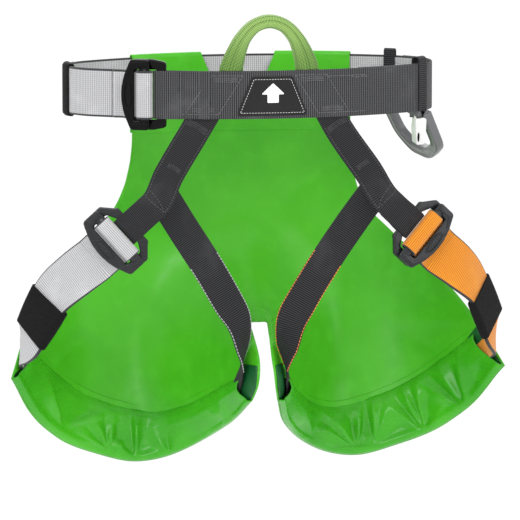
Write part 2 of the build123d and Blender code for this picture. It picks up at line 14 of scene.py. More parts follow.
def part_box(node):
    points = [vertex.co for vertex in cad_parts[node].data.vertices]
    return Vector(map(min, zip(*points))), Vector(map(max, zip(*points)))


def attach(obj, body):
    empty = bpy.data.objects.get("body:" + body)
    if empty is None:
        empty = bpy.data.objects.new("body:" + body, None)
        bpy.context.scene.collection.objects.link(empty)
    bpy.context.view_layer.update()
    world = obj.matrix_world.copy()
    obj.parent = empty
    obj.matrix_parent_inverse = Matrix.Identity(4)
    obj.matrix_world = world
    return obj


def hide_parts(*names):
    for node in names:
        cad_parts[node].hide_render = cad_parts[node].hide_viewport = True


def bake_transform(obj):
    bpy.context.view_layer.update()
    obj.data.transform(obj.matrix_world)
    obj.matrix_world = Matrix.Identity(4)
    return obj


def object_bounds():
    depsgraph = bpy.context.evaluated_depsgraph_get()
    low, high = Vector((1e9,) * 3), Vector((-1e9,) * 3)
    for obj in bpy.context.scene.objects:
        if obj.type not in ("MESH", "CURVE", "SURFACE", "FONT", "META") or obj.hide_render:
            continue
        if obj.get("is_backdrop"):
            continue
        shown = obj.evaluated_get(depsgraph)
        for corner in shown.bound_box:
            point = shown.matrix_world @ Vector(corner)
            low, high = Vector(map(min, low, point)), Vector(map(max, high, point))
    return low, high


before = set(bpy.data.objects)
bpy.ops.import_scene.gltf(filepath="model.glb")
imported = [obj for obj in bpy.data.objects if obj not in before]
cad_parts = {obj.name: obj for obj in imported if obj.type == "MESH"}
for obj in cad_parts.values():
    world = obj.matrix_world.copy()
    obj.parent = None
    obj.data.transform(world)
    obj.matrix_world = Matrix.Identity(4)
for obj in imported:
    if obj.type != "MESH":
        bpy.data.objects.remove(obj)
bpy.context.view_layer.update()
MM = 0.001

# ---------------------------------------------------------------- sizes
BELT_WIDTH = 45 * MM
HALF_BELT = BELT_WIDTH / 2
RISER_WIDTH = 28 * MM
CROTCH_WIDTH = 30 * MM
PLY = 1.7 * MM
FABRIC = 1.0 * MM
# the waist ring's arcs: two long ones, front and back, and one round each hip
LEFT_HIP_RADIUS = 46 * MM
LEFT_HIP_CENTRE = 129 * MM
RIGHT_HIP_CENTRE = 110 * MM
HALF_DEPTH = 84 * MM
SIDE_RADIUS = (LEFT_HIP_CENTRE**2 + HALF_DEPTH**2 - LEFT_HIP_RADIUS**2) / (2 * (HALF_DEPTH - LEFT_HIP_RADIUS))
SIDE_CENTRE = SIDE_RADIUS - HALF_DEPTH
RIGHT_HIP_RADIUS = SIDE_RADIUS - math.hypot(RIGHT_HIP_CENTRE, SIDE_CENTRE)
LEFT_SPAN = math.degrees(math.atan2(LEFT_HIP_CENTRE, SIDE_CENTRE))
RIGHT_SPAN = math.degrees(math.atan2(RIGHT_HIP_CENTRE, SIDE_CENTRE))
# how far each layer's middle lies outside the ring's inner face
LINING_LEVEL = 0.9 * MM
TAIL_LEVEL = 2.9 * MM
COVER_LEVEL = 5.3 * MM


def mm(*values):
    """A point or direction given in millimetres, as an array in metres."""
    return np.array(values, float) * MM


def unit(v):
    v = np.asarray(v, float)
    return v / np.linalg.norm(v, axis=-1, keepdims=True)


# ---------------------------------------------------------------- mesh helpers
def new_object(name, verts, faces, material, uvs=None):
    mesh = bpy.data.meshes.new(name)
    mesh.from_pydata([tuple(v) for v in verts], [], [tuple(f) for f in faces])
    if uvs is not None:
        layer = mesh.uv_layers.new(name="UVMap")
        loops = np.empty(len(mesh.loops), np.int32)
        mesh.loops.foreach_get("vertex_index", loops)
        layer.data.foreach_set("uv", np.asarray(uvs, np.float32)[loops].ravel())
    mesh.polygons.foreach_set("use_smooth", [True] * len(mesh.polygons))
    mesh.update()
    mesh.materials.append(material)
    return linked(name, mesh)


def linked(name, data):
    """A new object in the scene."""
    obj = bpy.data.objects.new(name, data)
    bpy.context.scene.collection.objects.link(obj)
    return obj


def quads(rows, columns, close_rows=False, close_columns=False, first=0):
    """Faces of a grid of points that is listed row by row."""
    faces = []
    for i in range(rows if close_rows else rows - 1):
        near, far = first + i * columns, first + (i + 1) % rows * columns
        for j in range(columns if close_columns else columns - 1):
            k = (j + 1) % columns
            faces.append((near + j, near + k, far + k, far + j))
    return faces


def end_caps(rows, around, first=0):
    """The two end faces of a tube made of rings."""
    last = first + (rows - 1) * around
    return [tuple(range(first, first + around))[::-1], tuple(range(last, last + around))]


def face_outward(mesh, weld=0.0, to_front=False):
    """Turns a mesh's faces the same way, after joining points that coincide."""
    bm = bmesh.new()
    bm.from_mesh(mesh)
    if weld:
        bmesh.ops.remove_doubles(bm, verts=bm.verts, dist=weld)
    bmesh.ops.recalc_face_normals(bm, faces=bm.faces)
    if to_front and sum(f.normal.y * f.calc_area() for f in bm.faces) > 0:
        bmesh.ops.reverse_faces(bm, faces=bm.faces)
    bm.to_mesh(mesh)
    bm.free()


def run_lengths(points):
    """The distance from a polyline's start to each of its points."""
    return np.concatenate([[0], np.cumsum(np.linalg.norm(np.diff(points, axis=0), axis=1))])


def sample(at, lengths, rows):
    """A polyline's rows interpolated at one distance or at several."""
    return np.stack([np.interp(at, lengths, column) for column in np.transpose(rows)], axis=-1)


def join(name, objects):
    """One object made of several, which keeps their materials."""
    bpy.ops.object.select_all(action="DESELECT")
    for obj in objects:
        obj.select_set(True)
    bpy.context.view_layer.objects.active = objects[0]
    if len(objects) > 1:
        bpy.ops.object.join()
    objects[0].name = name
    objects[0].data.name = name
    return objects[0]


def apply_modifiers(obj):
    bpy.context.view_layer.update()
    evaluated = obj.evaluated_get(bpy.context.evaluated_depsgraph_get())
    mesh = bpy.data.meshes.new_from_object(evaluated)
    obj.modifiers.clear()
    obj.data = mesh
    return obj


def thickened(obj, thickness, even=False):
    """The same sheet with two faces and a rim."""
    solid = obj.modifiers.new("thick", "SOLIDIFY")
    solid.thickness = thickness
    solid.offset = 0
    solid.use_even_offset = even
    return apply_modifiers(obj)


def settle(obj, body, slot, *nodes):
    """Puts a finished piece on its body and in place of CAD nodes; slot is not used."""
    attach(obj, body)
    if nodes:
        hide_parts(*nodes)
    return obj


def smooth_path(points, step=2 * MM, first=None):
    """A cubic curve through points (rows of any length whose first three are the place)."""
    pts = np.asarray(points, float)
    t = run_lengths(pts[:, :3])
    slopes = np.gradient(pts, t, axis=0)
    if first is not None:
        slopes[0, :3] = unit(first)
    out = []
    for i in range(len(pts) - 1):
        h = t[i + 1] - t[i]
        n = max(2, int(round(h / step)))
        for k in range(n if i < len(pts) - 2 else n + 1):
            s = k / n
            h00, h10 = 2 * s**3 - 3 * s**2 + 1, s**3 - 2 * s**2 + s
            h01, h11 = -2 * s**3 + 3 * s**2, s**3 - s**2
            out.append(h00 * pts[i] + h10 * h * slopes[i] + h01 * pts[i + 1] + h11 * h * slopes[i + 1])
    return np.array(out)


def rounded_profile(width, thickness, across=14):
    """A flat strap's section as (across, out) pairs, anticlockwise, with rounded edges."""
    r = thickness / 2
    top = [(x, r) for x in np.linspace(width / 2 - r, -width / 2 + r, across)]
    arc = [math.pi / 2 + math.pi * k / 6 for k in range(1, 6)]
    left = [(-width / 2 + r + r * math.cos(a), r * math.sin(a)) for a in arc]
    bottom = [(x, -r) for x in np.linspace(-width / 2 + r, width / 2 - r, across)]
    right = [(width / 2 - r + r * math.cos(a + math.pi), r * math.sin(a + math.pi)) for a in arc]
    return np.array(top + left + bottom + right)


def strap_frames(centres, outs):
    """A strap's centres, its sides and outward directions squared to its run, and the lengths along it."""
    centres = np.asarray(centres, float)
    tangents = unit(np.gradient(centres, axis=0))
    sides = unit(np.cross(unit(np.broadcast_to(outs, centres.shape)), tangents))
    return centres, sides, unit(np.cross(tangents, sides)), run_lengths(centres)


def sweep(name, centres, outs, width, thickness, material, across=14, ripple=0.0, taper=None, profile=None):
    """A strap along centres whose outward directions are given; its UV is (along, across) in metres."""
    centres, sides, outs, along = strap_frames(centres, outs)
    section = rounded_profile(width, thickness, across) if profile is None else np.asarray(profile)
    n, m = len(centres), len(section)
    scale = np.ones(n) if taper is None else np.asarray(taper)
    verts = np.zeros((n, m, 3))
    uvs = np.zeros((n, m, 2))
    for j, (a, b) in enumerate(section):
        if ripple:
            b = b + ripple * np.array([noise.noise(Vector((s * 22, a * 60, sum(centres[0]) * 9)))
                                       for s in along])
        verts[:, j] = centres + sides * (a * scale)[:, None] + outs * np.broadcast_to(b, n)[:, None]
        uvs[:, j, 0] = along
        uvs[:, j, 1] = a
    faces = quads(n, m, close_columns=True) + end_caps(n, m)
    return new_object(name, verts.reshape(-1, 3), faces, material, uvs.reshape(-1, 2))


class Surface:
    """A strap's face as a place to lay thread: at(along, across) gives a point and its outward direction."""

    def __init__(self, centres, outs, lift):
        self.centres, self.sides, self.outs, self.lengths = strap_frames(centres, outs)
        self.lift = lift
        self.length = self.lengths[-1]

    def at(self, along, across):
        side, out = (unit(sample(along, self.lengths, rows)) for rows in (self.sides, self.outs))
        return sample(along, self.lengths, self.centres) + side * across + out * self.lift, out


def thread(name, runs, material, pitch=3.3 * MM, length=2.4 * MM, radius=0.33 * MM):
    """Stitches along runs of (point, outward) pairs, each a small rounded bar half sunk in the cloth."""
    verts, faces = [], []
    rings, around = 5, 6
    for run in runs:
        points = np.array([p for p, _ in run])
        outs = np.array([o for _, o in run])
        lengths = run_lengths(points)
        count = max(1, int(lengths[-1] / pitch))
        gap = lengths[-1] / count
        half = min(length, gap * 0.98) / 2
        for k in range(count):
            middle = (k + 0.5) * gap
            start, end = sample(middle - half, lengths, points), sample(middle + half, lengths, points)
            if np.linalg.norm(end - start) < 1e-7:
                continue
            out = unit(sample(middle, lengths, outs))
            ahead = unit(end - start)
            side = unit(np.cross(ahead, out))
            up = np.cross(side, ahead)
            faces += (quads(rings, around, close_columns=True, first=len(verts))
                      + end_caps(rings, around, len(verts)))
            for f in np.linspace(0, 1, rings):
                grow = math.sin(math.pi * (0.12 + 0.76 * f)) ** 0.6
                centre = start + (end - start) * f + up * radius * (0.35 * math.sin(math.pi * f) - 0.15)
                for w in np.linspace(0, 2 * math.pi, around, endpoint=False):
                    verts.append(centre + (side * math.cos(w) + up * math.sin(w)) * radius * grow)
    return new_object(name, verts, faces, material)


def seam_run(surface, points, step=1.5 * MM):
    """Points along a polyline given on a strap's face, close enough to follow its bends."""
    run = []
    for (a0, b0), (a1, b1) in zip(points, points[1:]):
        n = max(2, int(math.hypot(a1 - a0, b1 - b0) / step))
        for k in range(n):
            f = k / n
            run.append(surface.at(a0 + (a1 - a0) * f, b0 + (b1 - b0) * f))
    run.append(surface.at(*points[-1]))
    return run


def bar_tack(surface, along, across, span, height, count):
    """A dense zigzag block, whose span lies across the strap."""
    points = []
    for k in range(count + 1):
        side = height / 2 if k % 2 else -height / 2
        points.append((along + side, across + (k / count - 0.5) * span))
    return seam_run(surface, points, step=height)


# ---------------------------------------------------------------- node helpers
class Nodes:
    """A material's node tree with short ways to add to it."""

    def __init__(self, name):
        self.material = bpy.data.materials.new(name)
        self.material.use_nodes = True
        self.tree = self.material.node_tree
        self.tree.nodes.clear()
        self.shader = self.tree.nodes.new("ShaderNodeBsdfPrincipled")
        out = self.tree.nodes.new("ShaderNodeOutputMaterial")
        self.link(self.shader.outputs[0], out.inputs[0])

    def link(self, a, b):
        self.tree.links.new(a, b)

    def put(self, socket, value):
        if hasattr(value, "is_output"):
            self.link(value, socket)
        else:
            socket.default_value = value

    def uv(self):
        node = self.tree.nodes.new("ShaderNodeUVMap")
        node.uv_map = "UVMap"
        return node.outputs[0]

    def place(self):
        return self.tree.nodes.new("ShaderNodeTexCoord").outputs["Object"]

    def split(self, vector):
        node = self.tree.nodes.new("ShaderNodeSeparateXYZ")
        self.link(vector, node.inputs[0])
        return node.outputs

    def math(self, kind, a, b=0.0, c=0.0):
        node = self.tree.nodes.new("ShaderNodeMath")
        node.operation = kind
        self.put(node.inputs[0], a)
        self.put(node.inputs[1], b)
        self.put(node.inputs[2], c)
        return node.outputs[0]

    def noise(self, vector, scale, detail=3.0, rough=0.55, stretch=None):
        if stretch:
            node = self.tree.nodes.new("ShaderNodeVectorMath")
            node.operation = "MULTIPLY"
            self.link(vector, node.inputs[0])
            node.inputs[1].default_value = stretch
            vector = node.outputs[0]
        node = self.tree.nodes.new("ShaderNodeTexNoise")
        self.link(vector, node.inputs["Vector"])
        node.inputs["Scale"].default_value = scale
        node.inputs["Detail"].default_value = detail
        node.inputs["Roughness"].default_value = rough
        return node.outputs["Fac"]

    def ramp(self, value, low, high, to_low=0.0, to_high=1.0):
        node = self.tree.nodes.new("ShaderNodeMapRange")
        self.put(node.inputs["Value"], value)
        node.inputs["From Min"].default_value = low
        node.inputs["From Max"].default_value = high
        node.inputs["To Min"].default_value = to_low
        node.inputs["To Max"].default_value = to_high
        node.interpolation_type = "SMOOTHSTEP"
        return node.outputs["Result"]

    def mix(self, share, a, b):
        node = self.tree.nodes.new("ShaderNodeMix")
        node.data_type = "RGBA"
        self.put(node.inputs["Factor"], share)
        self.put(node.inputs[6], a if hasattr(a, "is_output") else (*a, 1))
        self.put(node.inputs[7], b if hasattr(b, "is_output") else (*b, 1))
        return node.outputs[2]

    def wave(self, value, pitch):
        """A sine of a length, from 0 to 1."""
        turned = self.math("MULTIPLY", value, 2 * math.pi / pitch)
        return self.math("MULTIPLY_ADD", self.math("SINE", turned), 0.5, 0.5)

    def bump(self, height, distance, strength=1.0, normal=None):
        node = self.tree.nodes.new("ShaderNodeBump")
        node.inputs["Distance"].default_value = distance
        node.inputs["Strength"].default_value = strength
        self.link(height, node.inputs["Height"])
        if normal is not None:
            self.link(normal, node.inputs["Normal"])
        return node.outputs[0]

    def set(self, **values):
        for key, value in values.items():
            socket = self.shader.inputs[key.replace("_", " ")]
            if isinstance(value, tuple) and len(value) == 3:
                value = (*value, 1)
            self.put(socket, value)
        return self.material


def brighter(colour, times, plus):
    return tuple(min(1, c * times + plus) for c in colour)


def webbing(name, base, light, edge, rib=1.5 * MM, edge_at=None, column=1.1 * MM, sheen=0.25,
            depth=0.22 * MM, rib_share=0.75, specular=0.35, pale=None):
    """Woven tape: ribs across it, columns along it, hollows painted darker as painted shade, lint and a
    stripe from edge_at out.

    pale is for a length painted paler, a painted highlight: its middle along the tape, its reach and its two
    colours.
    """
    n = Nodes(name)
    u, v, _ = n.split(n.uv())
    wobble = n.noise(n.uv(), 140, 2.0)
    shifted = n.math("MULTIPLY_ADD", wobble, 0.5 * MM, u)
    ribs = n.wave(shifted, rib)
    cols = n.wave(v, column)
    cross = n.math("MULTIPLY", ribs, n.math("MULTIPLY_ADD", cols, 1 - rib_share, rib_share))
    fibres = n.noise(n.uv(), 900, 3.0, 0.7, (0.5, 2.0, 1.0))
    height = n.math("MULTIPLY_ADD", fibres, 0.25, cross)
    wear = n.noise(n.uv(), 26, 4.0, 0.6, (0.7, 1.0, 1.0))
    # painted shade: the hollows between ribs and columns take the base colour and the rib tops the light one
    tone = n.mix(n.ramp(cross, 0.15, 0.9), base, light)
    # a paler length of tape: painted highlight
    if pale:
        middle, reach, highlight_base, highlight_light = pale
        from_middle = n.math("ABSOLUTE", n.math("SUBTRACT", u, middle))
        painted_highlight_tone = n.mix(n.ramp(cross, 0.15, 0.9), highlight_base, highlight_light)
        tone = n.mix(n.ramp(from_middle, 0.35 * reach, reach), painted_highlight_tone, tone)
    worn = n.mix(n.math("MULTIPLY", n.ramp(wear, 0.5, 0.8), 0.28), tone, brighter(light, 1.5, 0.01))
    colour = worn
    if edge_at:
        near = n.math("ABSOLUTE", v)
        band = n.ramp(near, edge_at - 0.25 * MM, edge_at + 0.25 * MM)
        # the stripe's hollows are painted darker the same way: painted shade
        colour = n.mix(band, worn, n.mix(ribs, edge, brighter(edge, 1.8, 0.004)))
    n.link(n.bump(height, depth), n.shader.inputs["Normal"])
    return n.set(Base_Color=colour, Roughness=n.ramp(fibres, 0.3, 0.7, 0.62, 0.84),
                 Sheen_Weight=sheen, Sheen_Roughness=0.45, Specular_IOR_Level=specular)


def coated_fabric(name, deep, bright, rough=0.34):
    """PVC-coated cloth: a faint scrim shows through a semi-gloss skin with scuffs and soft mottling."""
    n = Nodes(name)
    where = n.place()
    x, y, z = n.split(where)
    scrim = n.math("MULTIPLY", n.wave(x, 1.3 * MM), n.wave(z, 1.3 * MM))
    broad = n.noise(where, 9, 3.0, 0.5)
    mottle = n.noise(where, 55, 4.0, 0.6)
    grain = n.noise(where, 1600, 2.0, 0.6)
    scuff = n.noise(where, 30, 6.0, 0.75, (1.0, 1.0, 3.0))
    height = n.math("ADD", n.math("MULTIPLY", scrim, 0.35), n.math("MULTIPLY", grain, 0.25))
    soft = n.bump(n.noise(where, 34, 2.0, 0.5), 0.9 * MM, 0.5)
    n.link(n.bump(height, 0.05 * MM, 0.6, soft), n.shader.inputs["Normal"])
    tone = n.mix(n.ramp(broad, 0.3, 0.7), deep, bright)
    tone = n.mix(n.math("MULTIPLY", n.ramp(mottle, 0.45, 0.75), 0.22), tone, brighter(bright, 1.25, 0.01))
    pale = n.mix(n.math("MULTIPLY", n.ramp(scuff, 0.6, 0.85), 0.25), tone, brighter(bright, 1.1, 0.06))
    return n.set(Base_Color=pale, Roughness=n.ramp(scuff, 0.3, 0.8, rough - 0.06, rough + 0.16),
                 Specular_IOR_Level=0.3, Subsurface_Weight=0.06, Subsurface_Scale=0.004,
                 Coat_Weight=0.08, Coat_Roughness=0.25)


def moulded(name, base, worn, rough=0.5, grain=900, coat=0.0, metallic=0.0, depth=0.06 * MM, specular=0.5):
    """Moulded or coated hard surface: fine grain, handling scratches and paler worn spots."""
    n = Nodes(name)
    where = n.place()
    fine = n.noise(where, grain, 3.0, 0.6)
    marks = n.noise(where, 120, 6.0, 0.75, (1.0, 1.0, 6.0))
    spots = n.noise(where, 45, 4.0, 0.6)
    colour = n.mix(n.math("MULTIPLY", n.ramp(marks, 0.58, 0.78), 0.45), base, worn)
    colour = n.mix(n.math("MULTIPLY", n.ramp(spots, 0.5, 0.8), 0.25), colour, brighter(base, 1.4, 0.003))
    n.link(n.bump(n.math("MULTIPLY_ADD", marks, 0.4, fine), depth, 0.7), n.shader.inputs["Normal"])
    return n.set(Base_Color=colour, Roughness=n.ramp(marks, 0.3, 0.75, rough - 0.08, rough + 0.14),
                 Metallic=metallic, Coat_Weight=coat, Coat_Roughness=0.12, Specular_IOR_Level=specular)


def cotton(name, base, light):
    """Twisted sewing thread."""
    n = Nodes(name)
    where = n.place()
    twist = n.noise(where, 1400, 3.0, 0.6)
    n.link(n.bump(twist, 0.08 * MM), n.shader.inputs["Normal"])
    return n.set(Base_Color=n.mix(n.ramp(twist, 0.3, 0.7), base, light), Roughness=0.6, Sheen_Weight=0.3)


DARK = webbing("dark_webbing", (0.003, 0.003, 0.004), (0.040, 0.040, 0.043), (0.01, 0.01, 0.011),
               rib=1.7 * MM, column=2.1 * MM, depth=0.34 * MM, sheen=0.05, specular=0.22)
DARK_BELT = webbing("dark_belt_webbing", (0.009, 0.009, 0.010), (0.092, 0.093, 0.097), (0.02, 0.02, 0.022),
                    rib=2.0 * MM, column=2.3 * MM, depth=0.36 * MM, sheen=0.1, specular=0.3)
DARK_RIBBED = webbing("dark_ribbed_webbing", (0.003, 0.003, 0.004), (0.042, 0.042, 0.046),
                      (0.01, 0.01, 0.011),
                      rib=1.9 * MM, rib_share=0.95, depth=0.4 * MM, sheen=0.05, specular=0.22)
GREY = webbing("grey_webbing", (0.30, 0.30, 0.31), (0.62, 0.62, 0.63), (0.02, 0.02, 0.022), rib=1.9 * MM,
               column=1.9 * MM, edge_at=20.6 * MM, rib_share=0.5, depth=0.3 * MM)
GREY_LEG = webbing("grey_leg_webbing", (0.30, 0.30, 0.31), (0.60, 0.60, 0.61), (0.02, 0.02, 0.022),
                   rib=1.7 * MM, edge_at=20.9 * MM, rib_share=0.9, depth=0.3 * MM)
ORANGE = webbing("orange_webbing", (0.52, 0.15, 0.004), (0.83, 0.31, 0.012), (0.02, 0.02, 0.022),
                 rib=1.7 * MM, edge_at=20.9 * MM, rib_share=0.9, depth=0.3 * MM)
LABEL_CLOTH = webbing("label_cloth", (0.003, 0.003, 0.003), (0.012, 0.012, 0.013), (0.01, 0.01, 0.01),
                      rib=0.8 * MM, column=0.8 * MM, depth=0.08 * MM, sheen=0.05)
PVC = coated_fabric("seat_pvc", (0.045, 0.37, 0.007), (0.072, 0.47, 0.014))
# a darker copy of the seat's PVC for the tunnel flaps: painted shade of flaps that face down
PVC_SHADED = coated_fabric("tunnel_pvc_painted_shade", (0.032, 0.31, 0.007), (0.058, 0.42, 0.012), rough=0.26)
# dark green for patches inside the tunnels' open ends: painted shade
PVC_MOUTH_SHADE = coated_fabric("mouth_painted_shade", (0.004, 0.075, 0.018), (0.010, 0.115, 0.028), rough=0.4)
BLACK_METAL = moulded("black_coated_metal", (0.001, 0.001, 0.001), (0.008, 0.008, 0.009), 0.16, coat=0.12,
                      specular=0.1)
GUNMETAL = moulded("gunmetal_coating", (0.022, 0.023, 0.025), (0.12, 0.12, 0.125), 0.24, coat=0.25,
                   metallic=0.5, specular=0.3)
NYLON = moulded("holder_nylon", (0.115, 0.117, 0.122), (0.24, 0.24, 0.245), 0.4, coat=0.2)
WHITE_NYLON = moulded("white_nylon", (0.74, 0.74, 0.73), (0.5, 0.5, 0.49), 0.42)
RUBBER = moulded("keeper_rubber", (0.003, 0.003, 0.003), (0.012, 0.012, 0.012), 0.8, grain=500,
                 depth=0.12 * MM, specular=0.2)
THREAD_DARK = cotton("dark_thread", (0.02, 0.02, 0.022), (0.07, 0.07, 0.075))
THREAD_BELT = cotton("belt_thread", (0.06, 0.06, 0.063), (0.17, 0.17, 0.175))
THREAD_WHITE = cotton("white_thread", (0.7, 0.7, 0.7), (0.95, 0.95, 0.95))
THREAD_GREEN = cotton("green_thread", (0.02, 0.08, 0.01), (0.05, 0.16, 0.03))
STEEL = moulded("pin_steel", (0.42, 0.42, 0.43), (0.6, 0.6, 0.6), 0.3, metallic=1.0)


# ---------------------------------------------------------------- waist ring
def arc_of(facing):
    """The centre and radius of the ring's arc at a facing in degrees."""
    wrapped = (facing + 180) % 360 - 180
    if -LEFT_SPAN <= 90 - abs(wrapped) <= RIGHT_SPAN:
        return np.array([0.0, math.copysign(SIDE_CENTRE, -wrapped)]), SIDE_RADIUS
    if abs(wrapped) < 90:
        return np.array([RIGHT_HIP_CENTRE, 0.0]), RIGHT_HIP_RADIUS
    return np.array([-LEFT_HIP_CENTRE, 0.0]), LEFT_HIP_RADIUS


def ring_point(facing, outward, height=0.0):
    centre, radius = arc_of(facing)
    a = math.radians(facing)
    flat = centre + (radius + outward) * np.array([math.cos(a), math.sin(a)])
    return np.array([flat[0], flat[1], height])


def ring_out(facing):
    a = math.radians(facing)
    return np.array([math.cos(a), math.sin(a), 0.0])


def front_facing(x):
    return -90 + math.degrees(math.asin(x / SIDE_RADIUS))


def ring_path(start, end, level, step=2.5 * MM):
    """Points and outward directions along the ring, at one distance outside its inner face."""
    facings = []
    facing = min(start, end)
    while facing < max(start, end):
        facings.append(facing)
        facing += math.degrees(step / arc_of(facing)[1])
    facings.append(max(start, end))
    if start > end:
        facings.reverse()
    return np.array([ring_point(f, level) for f in facings]), np.array([ring_out(f) for f in facings])


def belt_face(x, z, level):
    """A point on the front of the belt over a given x, with its outward direction."""
    facing = front_facing(x)
    return ring_point(facing, level, z), ring_out(facing)


def belt_run(points, level=COVER_LEVEL + 1.0 * MM, step=1.5 * MM):
    """A polyline over the belt's front, given as (x, z) in millimetres."""
    run = []
    for (x0, z0), (x1, z1) in zip(points, points[1:]):
        n = max(2, int(math.hypot(x1 - x0, z1 - z0) * MM / step))
        for k in range(n + 1):
            f = k / n
            run.append(belt_face((x0 + (x1 - x0) * f) * MM, (z0 + (z1 - z0) * f) * MM, level))
    return run


def zigzag(x0, z0, x1, z1, height, count):
    """Corners of a zigzag from one place to another, as (x, z) in millimetres."""
    out = []
    length = math.hypot(x1 - x0, z1 - z0)
    nx, nz = -(z1 - z0) / length, (x1 - x0) / length
    for k in range(count + 1):
        f = k / count
        h = height / 2 if k % 2 else -height / 2
        out.append((x0 + (x1 - x0) * f + nx * h, z0 + (z1 - z0) * f + nz * h))
    return out


# ---------------------------------------------------------------- flat outlines
def fillet(corners, radii, step=0.7 * MM, closed=False):
    """A polyline with its corners rounded, in two dimensions."""
    corners = [np.array(c, float) for c in corners]
    n = len(corners)
    picks = range(n) if closed else range(1, n - 1)
    if not hasattr(radii, "__len__"):
        radii = [radii] * len(picks)
    out = [] if closed else [corners[0]]
    for radius, i in zip(radii, picks):
        p, q, r = corners[i - 1], corners[i], corners[(i + 1) % n]
        a, b = unit(p - q), unit(r - q)
        half = math.acos(max(-1, min(1, float(a @ b)))) / 2
        if half > math.pi / 2 - 0.02:
            out.append(q)
            continue
        cut = min(radius / math.tan(half), 0.49 * np.linalg.norm(p - q), 0.49 * np.linalg.norm(r - q))
        radius = cut * math.tan(half)
        centre = q + unit(a + b) * radius / math.sin(half)
        v0, v1 = q + a * cut - centre, q + b * cut - centre
        angle = math.atan2(v0[0] * v1[1] - v0[1] * v1[0], float(v0 @ v1))
        count = max(3, int(abs(angle) * radius / step))
        for k in range(count + 1):
            t = angle * k / count
            out.append(centre + np.array([v0[0] * math.cos(t) - v0[1] * math.sin(t),
                                          v0[0] * math.sin(t) + v0[1] * math.cos(t)]))
    if not closed:
        out.append(corners[-1])
    return np.array(out)


def evenly(points, step):
    """The same polyline with evenly spaced points."""
    points = np.asarray(points, float)
    lengths = run_lengths(points)
    count = max(2, int(round(lengths[-1] / step)))
    return sample(np.linspace(0, lengths[-1], count + 1), lengths, points)


def even_ring(ring, step):
    """A closed ring with evenly spaced points."""
    return evenly(np.vstack([ring, ring[:1]]), step)[:-1]


def ellipse(x, y, reach_x, reach_y, count):
    return [(x + reach_x * math.cos(a), y + reach_y * math.sin(a)) for a in
            np.linspace(0, 2 * math.pi, count, endpoint=False)]


def box_ring(x0, y0, x1, y1):
    return [(x0, y0), (x1, y0), (x1, y1), (x0, y1)]


class Place:
    """A frame of origin and three directions, for building a part where it belongs."""

    def __init__(self, origin, x, z):
        self.o = np.asarray(origin, float)
        self.x = unit(x)
        self.z = unit(np.asarray(z, float) - self.x * (np.asarray(z, float) @ self.x))
        self.y = np.cross(self.z, self.x)

    def at(self, x, y, z):
        return self.o + self.x * x + self.y * y + self.z * z

    def matrix(self):
        m = Matrix.Identity(4)
        for k in range(3):
            m[k][0], m[k][1], m[k][2], m[k][3] = self.x[k], self.y[k], self.z[k], self.o[k]
        return m


def cut_plate(name, outline, holes, low, high, bevel, material, place, resolution=3):
    """A plate cut to an outline with holes, with rounded rims."""
    curve = bpy.data.curves.new(name, "CURVE")
    curve.dimensions = "2D"
    curve.fill_mode = "BOTH"
    for ring in [outline] + list(holes):
        spline = curve.splines.new("POLY")
        spline.points.add(len(ring) - 1)
        for point, (x, y) in zip(spline.points, ring):
            point.co = (x, y, 0, 1)
        spline.use_cyclic_u = True
    curve.extrude = (high - low) / 2 - bevel
    curve.bevel_depth = bevel
    curve.bevel_resolution = resolution
    curve.offset = -bevel
    temp = linked(name, curve)
    bpy.context.view_layer.update()
    mesh = bpy.data.meshes.new_from_object(temp.evaluated_get(bpy.context.evaluated_depsgraph_get()))
    bpy.data.objects.remove(temp)
    mesh.transform(place.matrix() @ Matrix.Translation((0, 0, (low + high) / 2)))
    face_outward(mesh, weld=0.01 * MM)
    mesh.materials.clear()
    mesh.materials.append(material)
    mesh.polygons.foreach_set("use_smooth", [True] * len(mesh.polygons))
    mesh.set_sharp_from_angle(angle=math.radians(50))
    return linked(name, mesh)


def in_mm(points):
    """Flat points given in millimetres, in metres."""
    return [(a * MM, b * MM) for a, b in points]


def mirror_across(points):
    """A closed outline from its half with y of 0 or more, mirrored in y."""
    return list(points) + [(x, -y) for x, y in reversed(points) if abs(y) > 1e-9]


# ---------------------------------------------------------------- buckles
# x runs across the bar towards the adjustable strap, y along the bar and z outward
BUCKLE_HALF = 33 * MM
FRAME_PLY = 4 * MM
BAR_X = -0.7 * MM
PLATE_LOW = 4.4 * MM
PLATE_PLY = 3.6 * MM
BAR_Z = PLATE_LOW + PLATE_PLY / 2
BAR_REACH = 5.0 * MM
BAR_RISE = 2.6 * MM
UNDER = 3.2 * MM
TAIL_Z = -1.2 * MM
WRAP_X = BAR_REACH + 1.5 * MM
WRAP_Z = BAR_RISE + 1.9 * MM
STRAP_END = 30 * MM


def wrap_line():
    """The adjustable webbing's line through a buckle, from its load layer to its tail, as (x, z)."""
    left, right, top = BAR_X - WRAP_X, BAR_X + WRAP_X, BAR_Z + WRAP_Z
    corners = [(STRAP_END, -UNDER), (2 * MM, -UNDER), (left, 1 * MM), (left, top), (right, top),
               (right, UNDER), (17 * MM, UNDER), (23 * MM, TAIL_Z), (STRAP_END, TAIL_Z)]
    radii = [r * MM for r in (4, 3, 4.2, 4.2, 2, 6, 6)]
    return evenly(fillet(corners, radii), 1.2 * MM)


def fold_line(front_reach, lay_z, back_z, back_reach):
    """Fixed webbing's line round the frame's bar, from its rear layer to its front one, as (x, z)."""
    over = FRAME_PLY / 2 + 0.3 * MM + 1 * MM
    fold = -9.0 * MM
    corners = [(-back_reach, back_z)]
    radii = []
    if abs(back_z + over) > 0.01 * MM:
        corners += [(-30 * MM, back_z), (-24 * MM, -over)]
        radii += [8 * MM, 8 * MM]
    corners += [(fold, -over), (fold, over), (-24 * MM, over), (-30 * MM, lay_z), (-front_reach, lay_z)]
    radii += [2.85 * MM, 2.85 * MM, 8 * MM, 8 * MM]
    return evenly(fillet(corners, radii), 1.2 * MM)


